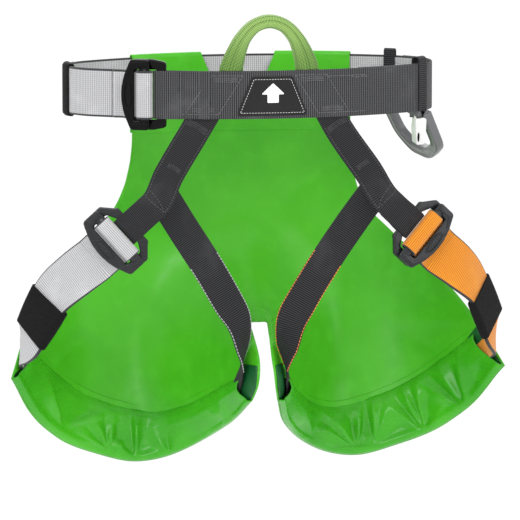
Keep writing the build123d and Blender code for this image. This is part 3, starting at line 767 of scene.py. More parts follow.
def frame_piece(name, place, loop_width, material):
    """The rear frame with its slot, a thin web beside the bar and a raised ear at each side."""
    neck = loop_width / 2 + 8.5 * MM
    half = [(-20.2 * MM, neck - 1.5 * MM), (-17.8 * MM, neck), (-8 * MM, BUCKLE_HALF), (10 * MM, BUCKLE_HALF),
            (16 * MM, BUCKLE_HALF - 5 * MM)]
    slot_neck = loop_width / 2 + 1.5 * MM
    slot_side = BUCKLE_HALF - 9.7 * MM
    slot_half = [(-12.2 * MM, slot_neck - 0.6 * MM), (-7.5 * MM, slot_side), (9 * MM, slot_side)]
    slot = fillet(mirror_across(slot_half), 2.4 * MM, closed=True)
    half_ply = FRAME_PLY / 2
    parts = [cut_plate(name, fillet(mirror_across(half), 2.6 * MM, closed=True), [slot], -half_ply, half_ply,
                       1.1 * MM, material, place)]
    web = box_ring(-8.6 * MM, -loop_width / 2, -7.9 * MM, loop_width / 2)
    parts.append(cut_plate(f"{name}_web", web, [], -1.6 * MM, 1.6 * MM, 0.2 * MM, material, place, 1))
    for sign in (-1, 1):
        ear = fillet(box_ring(-7 * MM, sign * 27.2 * MM, 9.5 * MM, sign * 31.4 * MM), 1.4 * MM, closed=True)
        parts.append(cut_plate(f"{name}_ear", ear, [], 1.6 * MM, 2.5 * MM, 0.4 * MM, material, place, 2))
    return join(name, parts)


def plate_piece(name, place, material):
    """The front plate: rails, a bowed pressing edge, a knurled oval grip and the bar the strap goes round."""
    top = PLATE_LOW + PLATE_PLY
    slot = BUCKLE_HALF - 9 * MM
    heel = -5.4 * MM
    bow = [(18 * MM + 3.4 * MM * math.cos(a) ** 2, 20 * MM * math.sin(a))
           for a in np.linspace(0, math.pi / 2, 9)]
    half = bow + [(12.5 * MM, BUCKLE_HALF), (heel, BUCKLE_HALF)]
    radii = [0.1 * MM] * 8 + [0.5 * MM, 4 * MM, 3.2 * MM, 3.2 * MM, 4 * MM] + [0.5 * MM] * 12
    outline = fillet(mirror_across(half), radii, closed=True)
    window = fillet([(9 * MM, -slot), (9 * MM, slot), (-3 * MM, slot), (-3 * MM, -slot)], 1.6 * MM,
                    closed=True)
    parts = [cut_plate(name, outline, [window], PLATE_LOW, top, 1.2 * MM, material, place, 4)]

    def add(part, ring, holes, low, high, bevel, resolution):
        parts.append(cut_plate(f"{name}_{part}", ring, holes, top + low, top + high, bevel, material, place,
                               resolution))

    grip_x, grip_x_reach, grip_y_reach = 14.4 * MM, 3.3 * MM, 11.2 * MM
    oval = ellipse(grip_x, 0, 4.4 * MM, 12.5 * MM, 40)
    add("boss", oval, [ellipse(grip_x, 0, grip_x_reach, grip_y_reach, 40)], -0.5 * MM, 0.9 * MM, 0.4 * MM, 2)
    add("pad", ellipse(grip_x, 0, 0.96 * grip_x_reach, 0.96 * grip_y_reach, 40), [], -0.6 * MM, 0.35 * MM,
        0.3 * MM, 2)
    for k in range(-4, 5):
        y = k * 2.3 * MM
        reach = 2.6 * MM * math.sqrt(max(0.05, 1 - (y / (11 * MM)) ** 2))
        knurl = box_ring(grip_x - reach, y - 0.45 * MM, grip_x + reach, y + 0.45 * MM)
        add("knurl", fillet(knurl, 0.4 * MM, closed=True), [], 0, 0.75 * MM, 0.2 * MM, 1)
    for sign in (-1, 1):
        rail = in_mm([(-3.6, sign * 26.6), (9.5, sign * 26.6), (15.2, sign * 17.5), (16.9, sign * 18.9),
                      (11.8, sign * 30.4), (-3.6, sign * 31.2)])
        add("rail", fillet(rail, 0.9 * MM, closed=True), [], -0.4 * MM, 0.55 * MM, 0.35 * MM, 2)
    line = [place.at(BAR_X, y, BAR_Z) for y in np.linspace(-(slot + 2 * MM), slot + 2 * MM, 12)]
    parts.append(sweep(f"{name}_bar", line, place.z, 1, 1, material,
                       profile=ellipse(0, 0, BAR_REACH, BAR_RISE, 28)))
    return join(name, parts)


# where the buckles sit: a point, the way their straps run and the way they face
WAIST_FACING = front_facing(-111 * MM)
waist_out = ring_out(WAIST_FACING)
WAIST_PLACE = Place(ring_point(WAIST_FACING, 4.1 * MM), (waist_out[1], -waist_out[0], 0), waist_out)
LEG_AT = mm(143.4, -92.6, -131.5)
LEG_ALONG = unit((0.72, 0.15, -0.677))
LEG_PLACE = Place(LEG_AT, LEG_ALONG, (0.08, -0.98, 0.16))


def mirrored(obj, name):
    """A copy on the other side of the harness."""
    mesh = obj.data.copy()
    mesh.transform(Matrix.Diagonal((-1, 1, 1, 1)))
    mesh.flip_normals()
    mesh.name = name
    return linked(name, mesh)


def on_side(obj, side):
    """A right-hand piece as it is, or its mirror image in its place."""
    if side == "right":
        return obj
    name = obj.name
    copy = mirrored(obj, name)
    bpy.data.objects.remove(obj)
    copy.name = name
    return copy


def settle_pair(right, left_name, slot, node, body="harness"):
    """Puts a right-hand piece and its mirror image in place."""
    left_body = body.replace("right", "left")
    settle(mirrored(right, left_name), left_body, slot, f"{node}_left")
    settle(right, body, slot, f"{node}_right")


settle(frame_piece("waist_frame_look", WAIST_PLACE, BELT_WIDTH, BLACK_METAL), "harness", "black_metal",
       "waist_buckle_frame")
settle(plate_piece("waist_plate_look", WAIST_PLACE, BLACK_METAL), "waist_plate", "black_metal",
       "waist_buckle_plate")
settle_pair(frame_piece("leg_frame_right_look", LEG_PLACE, RISER_WIDTH, GUNMETAL), "leg_frame_left_look",
            "dark_metal",
            "leg_buckle_frame")
settle_pair(plate_piece("leg_plate_right_look", LEG_PLACE, GUNMETAL), "leg_plate_left_look", "dark_metal",
            "leg_buckle_plate", "leg_plate_right")


# ---------------------------------------------------------------- waist belt
def with_side(points, side):
    """Outward directions of a strap whose width lies along one direction."""
    tangents = unit(np.gradient(points, axis=0))
    return np.cross(tangents, np.broadcast_to(side, points.shape))


def degrees_along(length):
    return math.degrees(length / SIDE_RADIUS)


# where the ring's layers end, as facings in degrees
LINING_END = -72.0
TAIL_END = 140.0
COVER_END = 44.0
strap_start = 360 + WAIST_FACING - degrees_along(STRAP_END - 0.6 * MM)
lining, _ = ring_path(LINING_END, strap_start - 0.4, LINING_LEVEL)
wrap = np.array([WAIST_PLACE.at(x, 0, z) for x, z in wrap_line()])
tail, _ = ring_path(strap_start - 0.4, TAIL_END, TAIL_LEVEL)
waist_line = np.concatenate([lining, wrap, tail])
waist_look = sweep("waist_strap_look", waist_line, with_side(waist_line, (0, 0, 1)), BELT_WIDTH, PLY, GREY,
                   across=16)
settle(waist_look, "harness", "grey_webbing", "waist_strap")

cover_fold = np.array([WAIST_PLACE.at(x, 0, z) for x, z in
                       fold_line(34 * MM, COVER_LEVEL - 4.1 * MM, -3.3 * MM, 60 * MM)])
cover, _ = ring_path(WAIST_FACING + degrees_along(34.6 * MM), COVER_END, COVER_LEVEL)
cover_line = np.concatenate([cover_fold, cover])
belt_look = sweep("front_belt_look", cover_line, with_side(cover_line, (0, 0, 1)), BELT_WIDTH, 1.9 * MM,
                  DARK_BELT, across=16)
belt_seams = [
    belt_run([(-93, 18), (-84, 18), (-84, -18), (-93, -18), (-93, 18)]),
    belt_run([(-88.5, 18), (-88.5, -18)]),
    belt_run([(-53, 18), (-24, 18), (-46, -18), (-76, -18), (-53, 18)]),
    belt_run([(24, 18), (54, 18), (76, -18), (46, -18), (24, 18)]),
    belt_run([(54, 16), (92, 16)]),
    belt_run([(54, -18), (92, -18)]),
    belt_run([(-83, -18.5), (-76, -18)]),
]
for sign in (-1, 1):
    for row in range(3):
        z = 12.5 + 1.6 * row
        belt_seams.append(belt_run(zigzag(sign * 29, z, sign * 51, z, 1.4, 22), step=1.4 * MM))
        belt_seams.append(belt_run(zigzag(sign * 50, -z, sign * 70, -z, 1.4, 22), step=1.4 * MM))
belt_seams.append(belt_run(zigzag(78, 14.5, 94, 14.5, 2.2, 14), step=1.4 * MM))
belt_look = join("front_belt_look",
                 [belt_look, thread("belt_thread", belt_seams, THREAD_BELT, 3.0 * MM, 2.2 * MM)])
settle(belt_look, "harness", "dark_webbing", "front_belt")


# ---------------------------------------------------------------- sleeves
def sleeve_wall(name, frames, half_width, half_depth, corner, wall, material, bulge):
    """A soft sleeve round a flat strap.  frames is a list of (centre, side, out) along it."""
    corners = [(half_width, -half_depth), (half_width, half_depth), (-half_width, half_depth),
               (-half_width, -half_depth)]
    around = even_ring(fillet(corners, corner, closed=True), 1.2 * MM)
    ahead = np.roll(around, -1, 0) - np.roll(around, 1, 0)
    normals = unit(np.stack([ahead[:, 1], -ahead[:, 0]], axis=1))
    swells = wall + bulge * np.sin(math.pi * np.linspace(0, 1, len(frames)))
    outer = [(*frame_here, swell) for frame_here, swell in zip(frames, swells)][1:-1]
    lip = [math.pi * k / 6 for k in range(7)]

    def end(here, beside, turn):
        """A rounded rim, from the sleeve's inner face to its outer one or back."""
        beyond = unit(here[0] - beside[0]) * wall / 2
        return [(here[0] + beyond * math.sin(a), here[1], here[2], wall / 2 - turn * wall / 2 * math.cos(a))
                for a in lip]

    stations = end(frames[0], frames[1], 1) + outer + end(frames[-1], frames[-2], -1)
    stations += [(centre, side, out, 0.0) for centre, side, out, _ in reversed(outer)]
    verts = []
    for centre, side, out, lift in stations:
        for a, b in around + normals * lift:
            verts.append(centre + side * a + out * b)
    obj = new_object(name, verts, quads(len(stations), len(around), close_rows=True, close_columns=True),
                     material)
    face_outward(obj.data)
    return obj


keeper_frames = [(ring_point(facing, 1.9 * MM), np.array([0.0, 0.0, 1.0]), ring_out(facing)) for facing in
                 np.linspace(180 - 16, 180 + 16, 26)]
waist_keeper = sleeve_wall("waist_keeper_look", keeper_frames, HALF_BELT + 0.7 * MM, 2.3 * MM, 1.6 * MM,
                           1.6 * MM, RUBBER, 0.25 * MM)
settle(waist_keeper, "waist_sleeve", "elastic", "waist_keeper")


# ---------------------------------------------------------------- protective seat
# in millimetres: where a lobe is deepest, and how far the fork and the hips come forward of it
LOBE_X, LOBE_Z = 115.0, -268.0
FORK_REACH, FORK_SPREAD, FORK_ROUND = 200.0, 85.0, 14.0
HIP_REACH, HIP_SPAN, DISHING, UNDERCUT = 105.0, 123.0, 2.2, 6.1e-4


def eased(t):
    t = np.clip(t, 0, 1)
    return t * t * (3 - 2 * t)


def seat_depth(x, z):
    """The seat's middle surface in millimetres, for arrays of x and z in millimetres."""
    x, z = np.asarray(x, float), np.asarray(z, float)
    radius, centre, deep = SIDE_RADIUS / MM, SIDE_CENTRE / MM, HALF_DEPTH / MM
    back = np.sqrt(np.maximum((radius + 1) ** 2 - x * x, 1.0)) - centre
    thigh = deep + 1 - UNDERCUT * np.maximum(0.0, -z - 80) ** 2
    share = eased((-50 - z) / 150)
    depth = back * (1 - share) + thigh * share
    side = np.hypot(x, FORK_ROUND)
    swell = np.exp(-(((z - LOBE_Z) / FORK_SPREAD) ** 2))
    fork = FORK_REACH * swell * share * np.clip((LOBE_X - side) / LOBE_X, 0, None) ** DISHING
    hip = HIP_REACH * share * np.clip((side - LOBE_X) / HIP_SPAN, 0, None) ** DISHING
    return depth - fork - hip


def seat_out(x, z):
    """Outward directions, away from the wearer."""
    e = 0.5
    dx = (seat_depth(x + e, z) - seat_depth(x - e, z)) / (2 * e)
    dz = (seat_depth(x, z + e) - seat_depth(x, z - e)) / (2 * e)
    return unit(np.stack([-dx, np.ones_like(dx), -dz], axis=-1))


def seat_point(x, z, lift=0.0):
    """Points of the seat in metres, lifted towards the wearer; arguments are in millimetres."""
    x, z = np.asarray(x, float), np.asarray(z, float)
    base = np.stack([x, seat_depth(x, z), z], axis=-1)
    return (base - seat_out(x, z) * np.asarray(lift)[..., None]) * MM


# outlines of the seat's right half and of the tunnel's seam, as (x, z) in millimetres
SEAT_SIDE = [(106, -24), (106, -66), (112, -98), (123, -124), (145, -147), (174, -175), (201, -204),
             (219, -232), (237, -268)]
SEAT_HEM = [(237, -268), (206, -316), (179, -339), (146, -354), (108, -363), (74, -357), (52, -345),
            (26, -319), (12, -290)]
SEAT_FORK = [(12, -290), (8.5, -275), (6.5, -254), (8.5, -222)]
SEAM_LINE = [(216, -243), (192, -269), (160, -295), (120, -312), (88, -317), (60, -308), (40, -291),
             (28, -278), (19, -270)]


def curve_through(points, step):
    """A smooth line through flat points, evenly spaced, in the points' own units."""
    rows = np.array([(x, z, 0.0) for x, z in points], float) * MM
    return evenly(smooth_path(rows, 0.6 * MM)[:, :2] / MM, step)


def inside(points, ring):
    """Which points lie inside a closed ring."""
    x, y = points[:, 0], points[:, 1]
    result = np.zeros(len(points), bool)
    for (x0, y0), (x1, y1) in zip(ring, np.roll(ring, -1, 0)):
        crosses = (y0 > y) != (y1 > y)
        if not crosses.any() or y0 == y1:
            continue
        result ^= crosses & (x < (x1 - x0) * (y - y0) / (y1 - y0) + x0)
    return result


def filled(ring, step):
    """Triangles that fill a ring of flat points: (points, faces)."""
    ring = np.asarray(ring, float)
    low, high = ring.min(0), ring.max(0)
    grid = []
    rows = int((high[1] - low[1]) / (step * 0.87)) + 1
    for r in range(rows):
        shift = step / 2 if r % 2 else 0
        z = low[1] + r * step * 0.87
        grid += [(x, z) for x in np.arange(low[0] + shift, high[0], step)]
    grid = np.array(grid)
    grid = grid[inside(grid, ring)]
    near = np.min(np.linalg.norm(grid[:, None, :] - ring[None, ::2, :], axis=2), axis=1)
    grid = grid[near > step * 0.55]
    points = [Vector(p) for p in np.vstack([ring, grid])]
    n = len(ring)
    edges = [(i, (i + 1) % n) for i in range(n)]
    out = geometry.delaunay_2d_cdt(points, edges, [], 1, 1e-6)
    return np.array([tuple(p) for p in out[0]]), out[2]


def fold(x, z, creases):
    """Lift from creases, each a sharp-backed ridge that fades along its length."""
    lift = np.zeros_like(x)
    for x0, z0, x1, z1, width, height in creases:
        dx, dz = x1 - x0, z1 - z0
        length = math.hypot(dx, dz)
        t = ((x - x0) * dx + (z - z0) * dz) / length**2
        d = np.abs((x - x0) * dz - (z - z0) * dx) / length
        fade = eased(np.clip(t / 0.12 + 1, 0, 1)) * eased(np.clip((1.1 - t) / 0.75, 0, 1))
        spread = width * (0.45 + 0.8 * np.clip(t, 0, 1.2))
        lift += height * fade * np.exp(-np.sqrt((d / spread) ** 2 + 0.04) + 0.2)
    return lift


def ripples(x, z, size, seed, octaves=3):
    return np.array([noise.fractal(Vector((a / size, b / size, seed)), 0.6, 2.0, octaves)
                     for a, b in zip(x, z)])


seat_right = np.vstack([curve_through(SEAT_SIDE, 2.6)[:-1], curve_through(SEAT_HEM, 2.6)[:-1],
                        curve_through(SEAT_FORK, 2.6)])
fork_x, fork_z = SEAT_FORK[-1]
notch = [(fork_x * math.cos(a), fork_z + 2.2 * math.sin(a)) for a in np.linspace(0, math.pi, 9)][1:-1]
seat_left = (seat_right * np.array([-1, 1]))[::-1]
top_x, top_z = SEAT_SIDE[0]
top_edge = [(x, top_z) for x in np.linspace(-top_x, top_x, 80)][1:-1]
seat_ring = np.vstack([seat_right, notch, seat_left, top_edge])
flat, triangles = filled(seat_ring, 3.4)
fx, fz = flat[:, 0], flat[:, 1]
# each crease's start and end (x, z), its width and its height, in millimetres
PANEL_CREASES = [
    (-104, -78, -40, -120, 10, 0.5), (104, -78, 46, -118, 10, 0.5), (-112, -98, -60, -150, 9, 0.7),
    (112, -98, 60, -150, 9, -0.6), (-22, -222, -60, -200, 9, 0.9), (22, -222, 62, -204, 9, 0.9),
    (0, -226, 0, -150, 11, -0.9), (-30, -252, -70, -268, 7, -1.2), (30, -252, 76, -262, 7, -1.2),
    (-204, -232, -140, -236, 9, -1.1), (204, -232, 140, -238, 9, -1.0), (-150, -178, -118, -226, 10, 0.9),
    (152, -180, 120, -224, 10, 0.8), (-60, -305, -66, -252, 8, 1.0), (62, -303, 70, -250, 8, 1.0),
    (-120, -306, -108, -262, 9, -0.8), (124, -306, 110, -258, 9, -0.8), (-186, -268, -150, -244, 8, 0.9),
    (188, -266, 154, -246, 8, 0.9)]


def panel_lift(x, z):
    """The seat's creases and soft waves, in millimetres."""
    return fold(x, z, PANEL_CREASES) + 0.9 * ripples(x, z, 70, 3.1) * eased((-60 - z) / 60)


seat_lift = panel_lift(fx, fz) + 0.25 * np.clip((fz + 51.5) * 4, 0, 1)
seat_verts = seat_point(fx, fz, seat_lift)
seat = new_object("seat_look", seat_verts, triangles, PVC, flat * MM)
face_outward(seat.data)
thickened(seat, 1.3 * MM, even=True)


def strip_on_seat(name, line, width, lift, thickness, material):
    """A welded band that follows a line over the seat; sizes in millimetres."""
    line = evenly(np.asarray(line, float), 2.5)
    ahead = unit(np.gradient(line, axis=0))
    normal = np.stack([-ahead[:, 1], ahead[:, 0]], axis=1)
    lengths = run_lengths(line)
    section = [(-0.5, 0), (-0.46, 0.7), (-0.38, 1), (-0.15, 0.85), (0.15, 0.85), (0.38, 1), (0.46, 0.7),
               (0.5, 0)]
    verts, uvs = [], []
    for across, height in section:
        x, z = (line + normal * across * width).T
        verts.append(seat_point(x, z, panel_lift(x, z) + lift + thickness * height))
        uvs.append(np.stack([lengths, np.full_like(lengths, across * width)], axis=1) * MM)
    band = new_object(name, np.vstack(verts), quads(len(section), len(line)), material, np.vstack(uvs))
    return thickened(band, 0.3 * MM)


notch_arc = [(-14.25 * math.cos(a), fork_z + 12 * math.sin(a)) for a in np.linspace(0.05, math.pi - 0.05, 24)]
bands = [strip_on_seat("top_weld", [(-105, -49.5), (105, -49.5)], 4.0, 0.5, 0.45, PVC),
         strip_on_seat("notch_weld", notch_arc, 3.2, 0.5, 0.4, PVC)]
seat = join("seat_look", [seat] + bands)
settle(seat, "harness", "seat_pvc", "seat_panel", "notch_hem")
a, b, c = np.transpose(seat_verts[np.array(triangles)], (1, 0, 2))

# ---------------------------------------------------------------- leg tunnels
# where the flap gathers: x, z, how far the pleats reach, and each pleat's direction and height
GATHERS_LEFT = [
    (184, -326, 58, [(50, 0), (68, 2.6), (80, -2.4), (120, -3.0), (160, -1.6), (172, 2.0), (180, 0)]),
    (136, -351, 34,
     [(8, 0), (29, 1.6), (45, -1.5), (62, 2.0), (85, -1.8), (106, 2.0), (135, -1.5), (166, 1.4),
                     (180, 0)]),
    (108, -363, 50,
     [(20, 0), (40, 1.6), (59, -2.8), (86, -3.0), (94, 2.8), (112, -2.0), (140, -1.0), (158, 1.8),
                     (176, 0)]),
    (74, -359, 32, [(20, 0), (60, 1.8), (85, -1.8), (118, 2.2), (140, -1.0), (165, 0)]),
    (26, -326, 60, [(60, 0), (84, 1.6), (104, -2.2), (130, 0)])]
GATHERS_RIGHT = [
    (58, -338, 44, [(4, 1.6), (25, -1.5), (80, -2.2), (120, 1.8), (150, 0)]),
    (108, -359, 56,
     [(10, 0), (40, 0.6), (70, -1.5), (83, 2.2), (100, -3.0), (133, 2.0), (141, -1.0), (150, 2.0),
                     (175, 0)]),
    (127, -356, 62, [(15, 1.4), (35, -1.0), (68, 1.8), (80, 0.5), (92, 2.8), (104, -3.0), (140, 0)]),
    (175, -343, 50,
     [(30, 0), (60, 1.4), (85, -2.0), (96, 2.2), (105, -1.6), (114, 2.2), (128, -1.8), (143, 2.2),
                     (165, 0)]),
    (210, -316, 60,
     [(50, 0), (75, -1.6), (94, 2.8), (104, -2.6), (118, 1.8), (135, -2.6), (150, 1.8), (175, 0)])]
# the flap's height, and the least it may be, from its seam (0) to its hem (1)
FLAP_SWELL = [(0, 0.0), (0.06, 2.6), (0.16, 5.2), (0.34, 6.6), (0.55, 5.8), (0.72, 4.6), (0.82, 4.0),
              (0.9, 4.9), (0.95, 4.6), (0.985, 2.4), (1, 0.0)]
FLAP_FLOOR = [(0, 0.0), (0.1, 1.2), (0.2, 3.0), (0.7, 3.0), (0.85, 1.6), (1, 0.0)]


def pleats(x, z, gathers):
    """Lift from flat-sided pleats that fan out from the points where the flap gathers."""
    lift = np.zeros_like(x)
    for x0, z0, reach, rays in gathers:
        away = np.hypot(x - x0, z - z0)
        heading = np.degrees(np.arctan2(z - z0, x - x0))
        height = np.interp(heading, [a for a, _ in rays], [h for _, h in rays])
        lift += 1.35 * height * eased(away / (0.3 * reach)) * (
            1 - eased((away - 0.45 * reach) / (0.75 * reach)))
    return lift


def tunnel_flap(name, gathers, seed, sign):
    """The tunnel's outer wall: it swells over the strap, is pleated at the hem and is open at its ends."""
    columns, rows = 230, 47
    t = np.linspace(0, 1, columns)
    seam, hem = (sample(t * run_lengths(line)[-1], run_lengths(line), line) for line in
                 (curve_through(SEAM_LINE, 0.5), curve_through(SEAT_HEM, 0.5)))
    near_fork, near_hip = 1 - t, t
    flat, lifts = [], []
    for s in np.linspace(0, 1, rows):
        base = seam * (1 - s) + hem * s
        round_mouth = math.sin(math.pi * s)
        at_hip, at_fork = (np.exp(-(near / reach) ** 2)
                           for near, reach in ((near_hip, 0.03), (near_fork, 0.04)))
        pulled_in = (2 * at_hip - 4 * at_fork) * round_mouth
        base = base + unit(np.gradient(base, axis=0)) * pulled_in[:, None]
        x, z = base.T
        swell, floor = (np.interp(s, *zip(*shape)) for shape in (FLAP_SWELL, FLAP_FLOOR))
        hold = math.sin(math.pi * min(1, 0.04 + s * 0.96)) ** 0.5
        soft = 0.9 * ripples(x, z, 34, seed, 2) + 0.12 * ripples(x, z, 11, seed + 3, 2)
        ends = 1.6 * (np.exp(-(near_fork / 0.05) ** 2) + np.exp(-(near_hip / 0.05) ** 2)) * round_mouth
        lifts.append(np.maximum(swell + (pleats(x, z, gathers) + soft) * hold + ends, floor))
        flat.append(base)
    lifts = np.array(lifts)
    lifts[1:-1, 1:-1] = (lifts[1:-1, 1:-1] * 2 + lifts[:-2, 1:-1] + lifts[2:, 1:-1] + lifts[1:-1, :-2]
                         + lifts[1:-1, 2:]) / 6
    flat = np.vstack(flat)
    verts = seat_point(*flat.T, 0.8 + np.maximum(lifts.ravel(), 0)) * np.array([sign, 1, 1])
    faces = quads(rows, columns)
    if sign > 0:
        faces = [f[::-1] for f in faces]
    return thickened(new_object(name, verts, faces, PVC_SHADED, flat * MM), FABRIC)


def weld_band(name, sign):
    seam = curve_through(SEAM_LINE, 2.5)
    band = strip_on_seat(name, seam + np.array([0, 2.2]), 6.0, 0.6, 0.55, PVC)
    band.data.transform(Matrix.Diagonal((sign, 1, 1, 1)))
    return band


# the open ends of a tunnel, at the fork and at the hip
MOUTHS = [[(7.8, -257), (17, -257), (22, -267), (23, -278), (18, -290), (13, -291), (9.4, -277)],
          [(218, -236), (235.5, -266.5), (229, -277), (208, -253)]]


def mouth_shade_patch(name, outline, sign):
    """A dark patch on the seat inside an open end of the tunnel: painted shade in the tunnel's hollow."""
    points, tris = filled(even_ring(np.array(outline, float), 1.5), 2.0)
    verts = seat_point(*points.T, 1.3) * np.array([sign, 1, 1])
    return thickened(new_object(name, verts, tris, PVC_MOUTH_SHADE, points * MM), 0.3 * MM)


def tunnel_strap(name, sign):
    """The load strap that lies flat inside the tunnel."""
    share = np.linspace(0.07, 0.92, 90)
    seam, hem = (sample(share, np.linspace(0, 1, len(line)), line) for line in
                 (curve_through(SEAM_LINE, 2.0), curve_through(SEAT_HEM, 2.0)))
    flat = np.vstack([seam * (1 - across) + hem * across for across in (0.26, 0.5, 0.74)])
    verts = seat_point(*flat.T, 2.3) * np.array([sign, 1, 1])
    return thickened(new_object(name, verts, quads(3, len(share)), DARK, flat * MM), 1.2 * MM)


for side, sign, gathers in (("right", 1, GATHERS_RIGHT), ("left", -1, GATHERS_LEFT)):
    settle(tunnel_strap(f"tunnel_strap_{side}_look", sign), "harness", "dark_webbing",
           f"tunnel_webbing_{side}")
    # each open end gets a dark patch: painted shade
    mouth_shades = [mouth_shade_patch(f"mouth_{side}_{k}", mouth, sign) for k, mouth in enumerate(MOUTHS)]
    flap = join(f"leg_tunnel_{side}_look", [tunnel_flap(f"flap_{side}", gathers, 5.0 + sign, sign),
                                            weld_band(f"weld_{side}", sign)] + mouth_shades)
    settle(flap, "harness", "seat_pvc", f"leg_tunnel_{side}")

# ---------------------------------------------------------------- sleeves over the back of the belt
def belt_tab(name, sign):
    """A folded tab of coated fabric: inside skirt, over the belt, outside skirt."""
    path = [(-1.7, -27.0), (-1.5, -20.0), (-1.4, 20.0)]
    path += [(0.9 - 2.3 * math.cos(a), 22.6 + 2.3 * math.sin(a)) for a in np.linspace(0.1, math.pi - 0.1, 9)]
    path += [(3.3, 20.0), (3.4, -24.0), (3.1, -30.0), (3.0, -50.0)]
    step, columns, outer = 1.6, 65, 106
    path = evenly(np.array(path), step)
    verts, uvs = [], []
    for k, (level, z) in enumerate(path):
        inner = 38.5 - 22.5 * np.clip((30 - z) / 54, 0, 1)
        for x in np.linspace(inner, outer, columns):
            facing = 90 - math.degrees(math.asin(x / (SIDE_RADIUS / MM)))
            sag = 0.5 * noise.noise(Vector((x / 16, z / 22, sign * 3.0)))
            sag += 0.35 * noise.noise(Vector((x / 6, z / 30, 9.0)))
            sag *= 0.3 if z > 18 else 1.0
            out = level + (sag if level > 1 else -sag)
            p = ring_point(facing, out * MM, z * MM)
            verts.append((p[0] * sign, p[1], p[2]))
            uvs.append((x * MM, k * step * MM))
    return thickened(new_object(name, verts, quads(len(path), columns), PVC, uvs), FABRIC)


for side, sign in (("right", 1), ("left", -1)):
    tab = settle(belt_tab(f"belt_sleeve_{side}_look", sign), "harness", "seat_pvc", f"belt_sleeve_{side}")


# ---------------------------------------------------------------- risers and straps
def station(point, out):
    return np.concatenate([np.asarray(point, float), unit(out)])


def riser_line(offset):
    """From the leg buckle up to the belt, as rows of point and outward direction."""
    level = 2.7 * MM + offset
    rows = [station(LEG_PLACE.at(-44.5 * MM, 0, 1.05 * MM + offset), LEG_PLACE.z),
            station(mm(94, -88.5, -73) + mm(0.1, -0.99, 0.05) * offset / MM, (0.1, -0.99, 0.05))]
    for x, z in ((67, -33), (58, -17), (47, 3.5)):
        facing = front_facing(x * MM)
        rows.append(station(ring_point(facing, level, z * MM), ring_out(facing)))
    return smooth_path(rows, 1.6 * MM, first=-LEG_PLACE.x)


def riser(name, material):
    """The riser's outer layer, folded round the leg buckle's bar, with its seams and bar tacks."""
    hair = np.array([LEG_PLACE.at(x, 0, z) for x, z in fold_line(44.5 * MM, 1.05 * MM, -1.05 * MM, 42 * MM)])
    run = riser_line(0)
    points = np.vstack([hair[:-1], run[:, :3]])
    outs = np.vstack([with_side(hair, -LEG_PLACE.y)[:-1], run[:, 3:]])
    strap = sweep(name, points, outs, RISER_WIDTH, 1.8 * MM, material, across=12, ripple=0.12 * MM)
    face = Surface(run[:, :3], run[:, 3:], 0.95 * MM)
    edge, low, high = RISER_WIDTH / 2 - 2.2 * MM, 3 * MM, face.length - 34 * MM
    lines = [[(low, edge), (high, edge)], [(low, -edge), (high, -edge)], [(low, edge), (low, -edge)],
             [(low, edge), (low + 10 * MM, -edge)]]
    runs = [seam_run(face, line) for line in lines]
    for row in range(4):
        runs.append(bar_tack(face, (face.length - 36 * MM) - row * 1.5 * MM, 0, RISER_WIDTH - 7 * MM,
                             1.2 * MM, 26))
    for row in range(3):
        runs.append(bar_tack(face, 42 * MM + row * 1.5 * MM, 1 * MM, 13 * MM, 1.2 * MM, 16))
    return join(name, [strap, thread(f"{name}_thread", runs, THREAD_DARK, 3.0 * MM, 2.2 * MM)])


settle_pair(riser("riser_right_look", DARK), "riser_left_look", "dark_webbing", "riser_strap")
back_run = riser_line(-2.0 * MM)
backing = sweep("riser_backing_right_look", back_run[:, :3], back_run[:, 3:], RISER_WIDTH - 0.6 * MM,
                1.7 * MM, DARK)
settle_pair(backing, "riser_backing_left_look", "dark_webbing", "riser_backing")

# the strap's run from the riser to the tunnel's inner mouth: places and outward directions
crotch_rows = [station(mm(*p), o) for p, o in (
    ((103, -90.2, -88), (0.05, -0.99, 0.05)), ((82.5, -78, -120), (0, -1, 0)),
    ((52, -71, -167.5), (0, -1, 0.05)),
    ((35, -68, -197), (-0.15, -0.98, 0)), ((25.8, -69, -214), (-0.5, -0.86, 0)),
    ((21.5, -68, -239), (-0.84, -0.54, 0)), ((21, -65, -256), (-0.97, -0.2, 0)))]
for x, z, lift in ((19.5, -273, 4.2), (24, -287, 3.0)):
    crotch_rows.append(station(seat_point(x, z, lift), seat_out(x, z)))
crotch_run = smooth_path(crotch_rows, 1.8 * MM)
face = Surface(crotch_run[:, :3], crotch_run[:, 3:], 0.9 * MM)
wide_until, drawn_in_at = (face.lengths[np.argmax(crotch_run[:, 2] < z * MM)] for z in (-242, -260))
gather = 1 - 0.62 * eased((-238 - crotch_run[:, 2] / MM) / 28)
edge = CROTCH_WIDTH / 2 - 0.5 * MM
seams = [seam_run(face,
                  [(face.length * 0.36, k * edge), (wide_until, k * edge), (drawn_in_at, k * edge * 0.5)])
         for k in (-1, 1)]
for side, colour in (("right", cotton("orange_thread", (0.55, 0.1, 0.008), (0.85, 0.22, 0.02))),
                     ("left", cotton("grey_thread", (0.25, 0.25, 0.26), (0.5, 0.5, 0.52)))):
    strap = sweep(f"crotch_{side}_look", crotch_run[:, :3], crotch_run[:, 3:], CROTCH_WIDTH, 1.8 * MM,
                  DARK_RIBBED, ripple=0.15 * MM, taper=gather)
    seam = thread(f"crotch_{side}_thread", seams, colour, 3.2 * MM, 2.5 * MM, 0.5 * MM)
    settle(on_side(join(f"crotch_{side}_look", [strap, seam]), side), "harness", "dark_webbing",
           f"crotch_strap_{side}")

# the middle of the right keeper, the strap's run there and the way it faces
KEEPER_AT = mm(212, -64.5, -207)
KEEPER_ALONG = unit((0.40, 0.333, -0.856))
KEEPER_OUT = np.array((0.80, -0.57, 0.10))
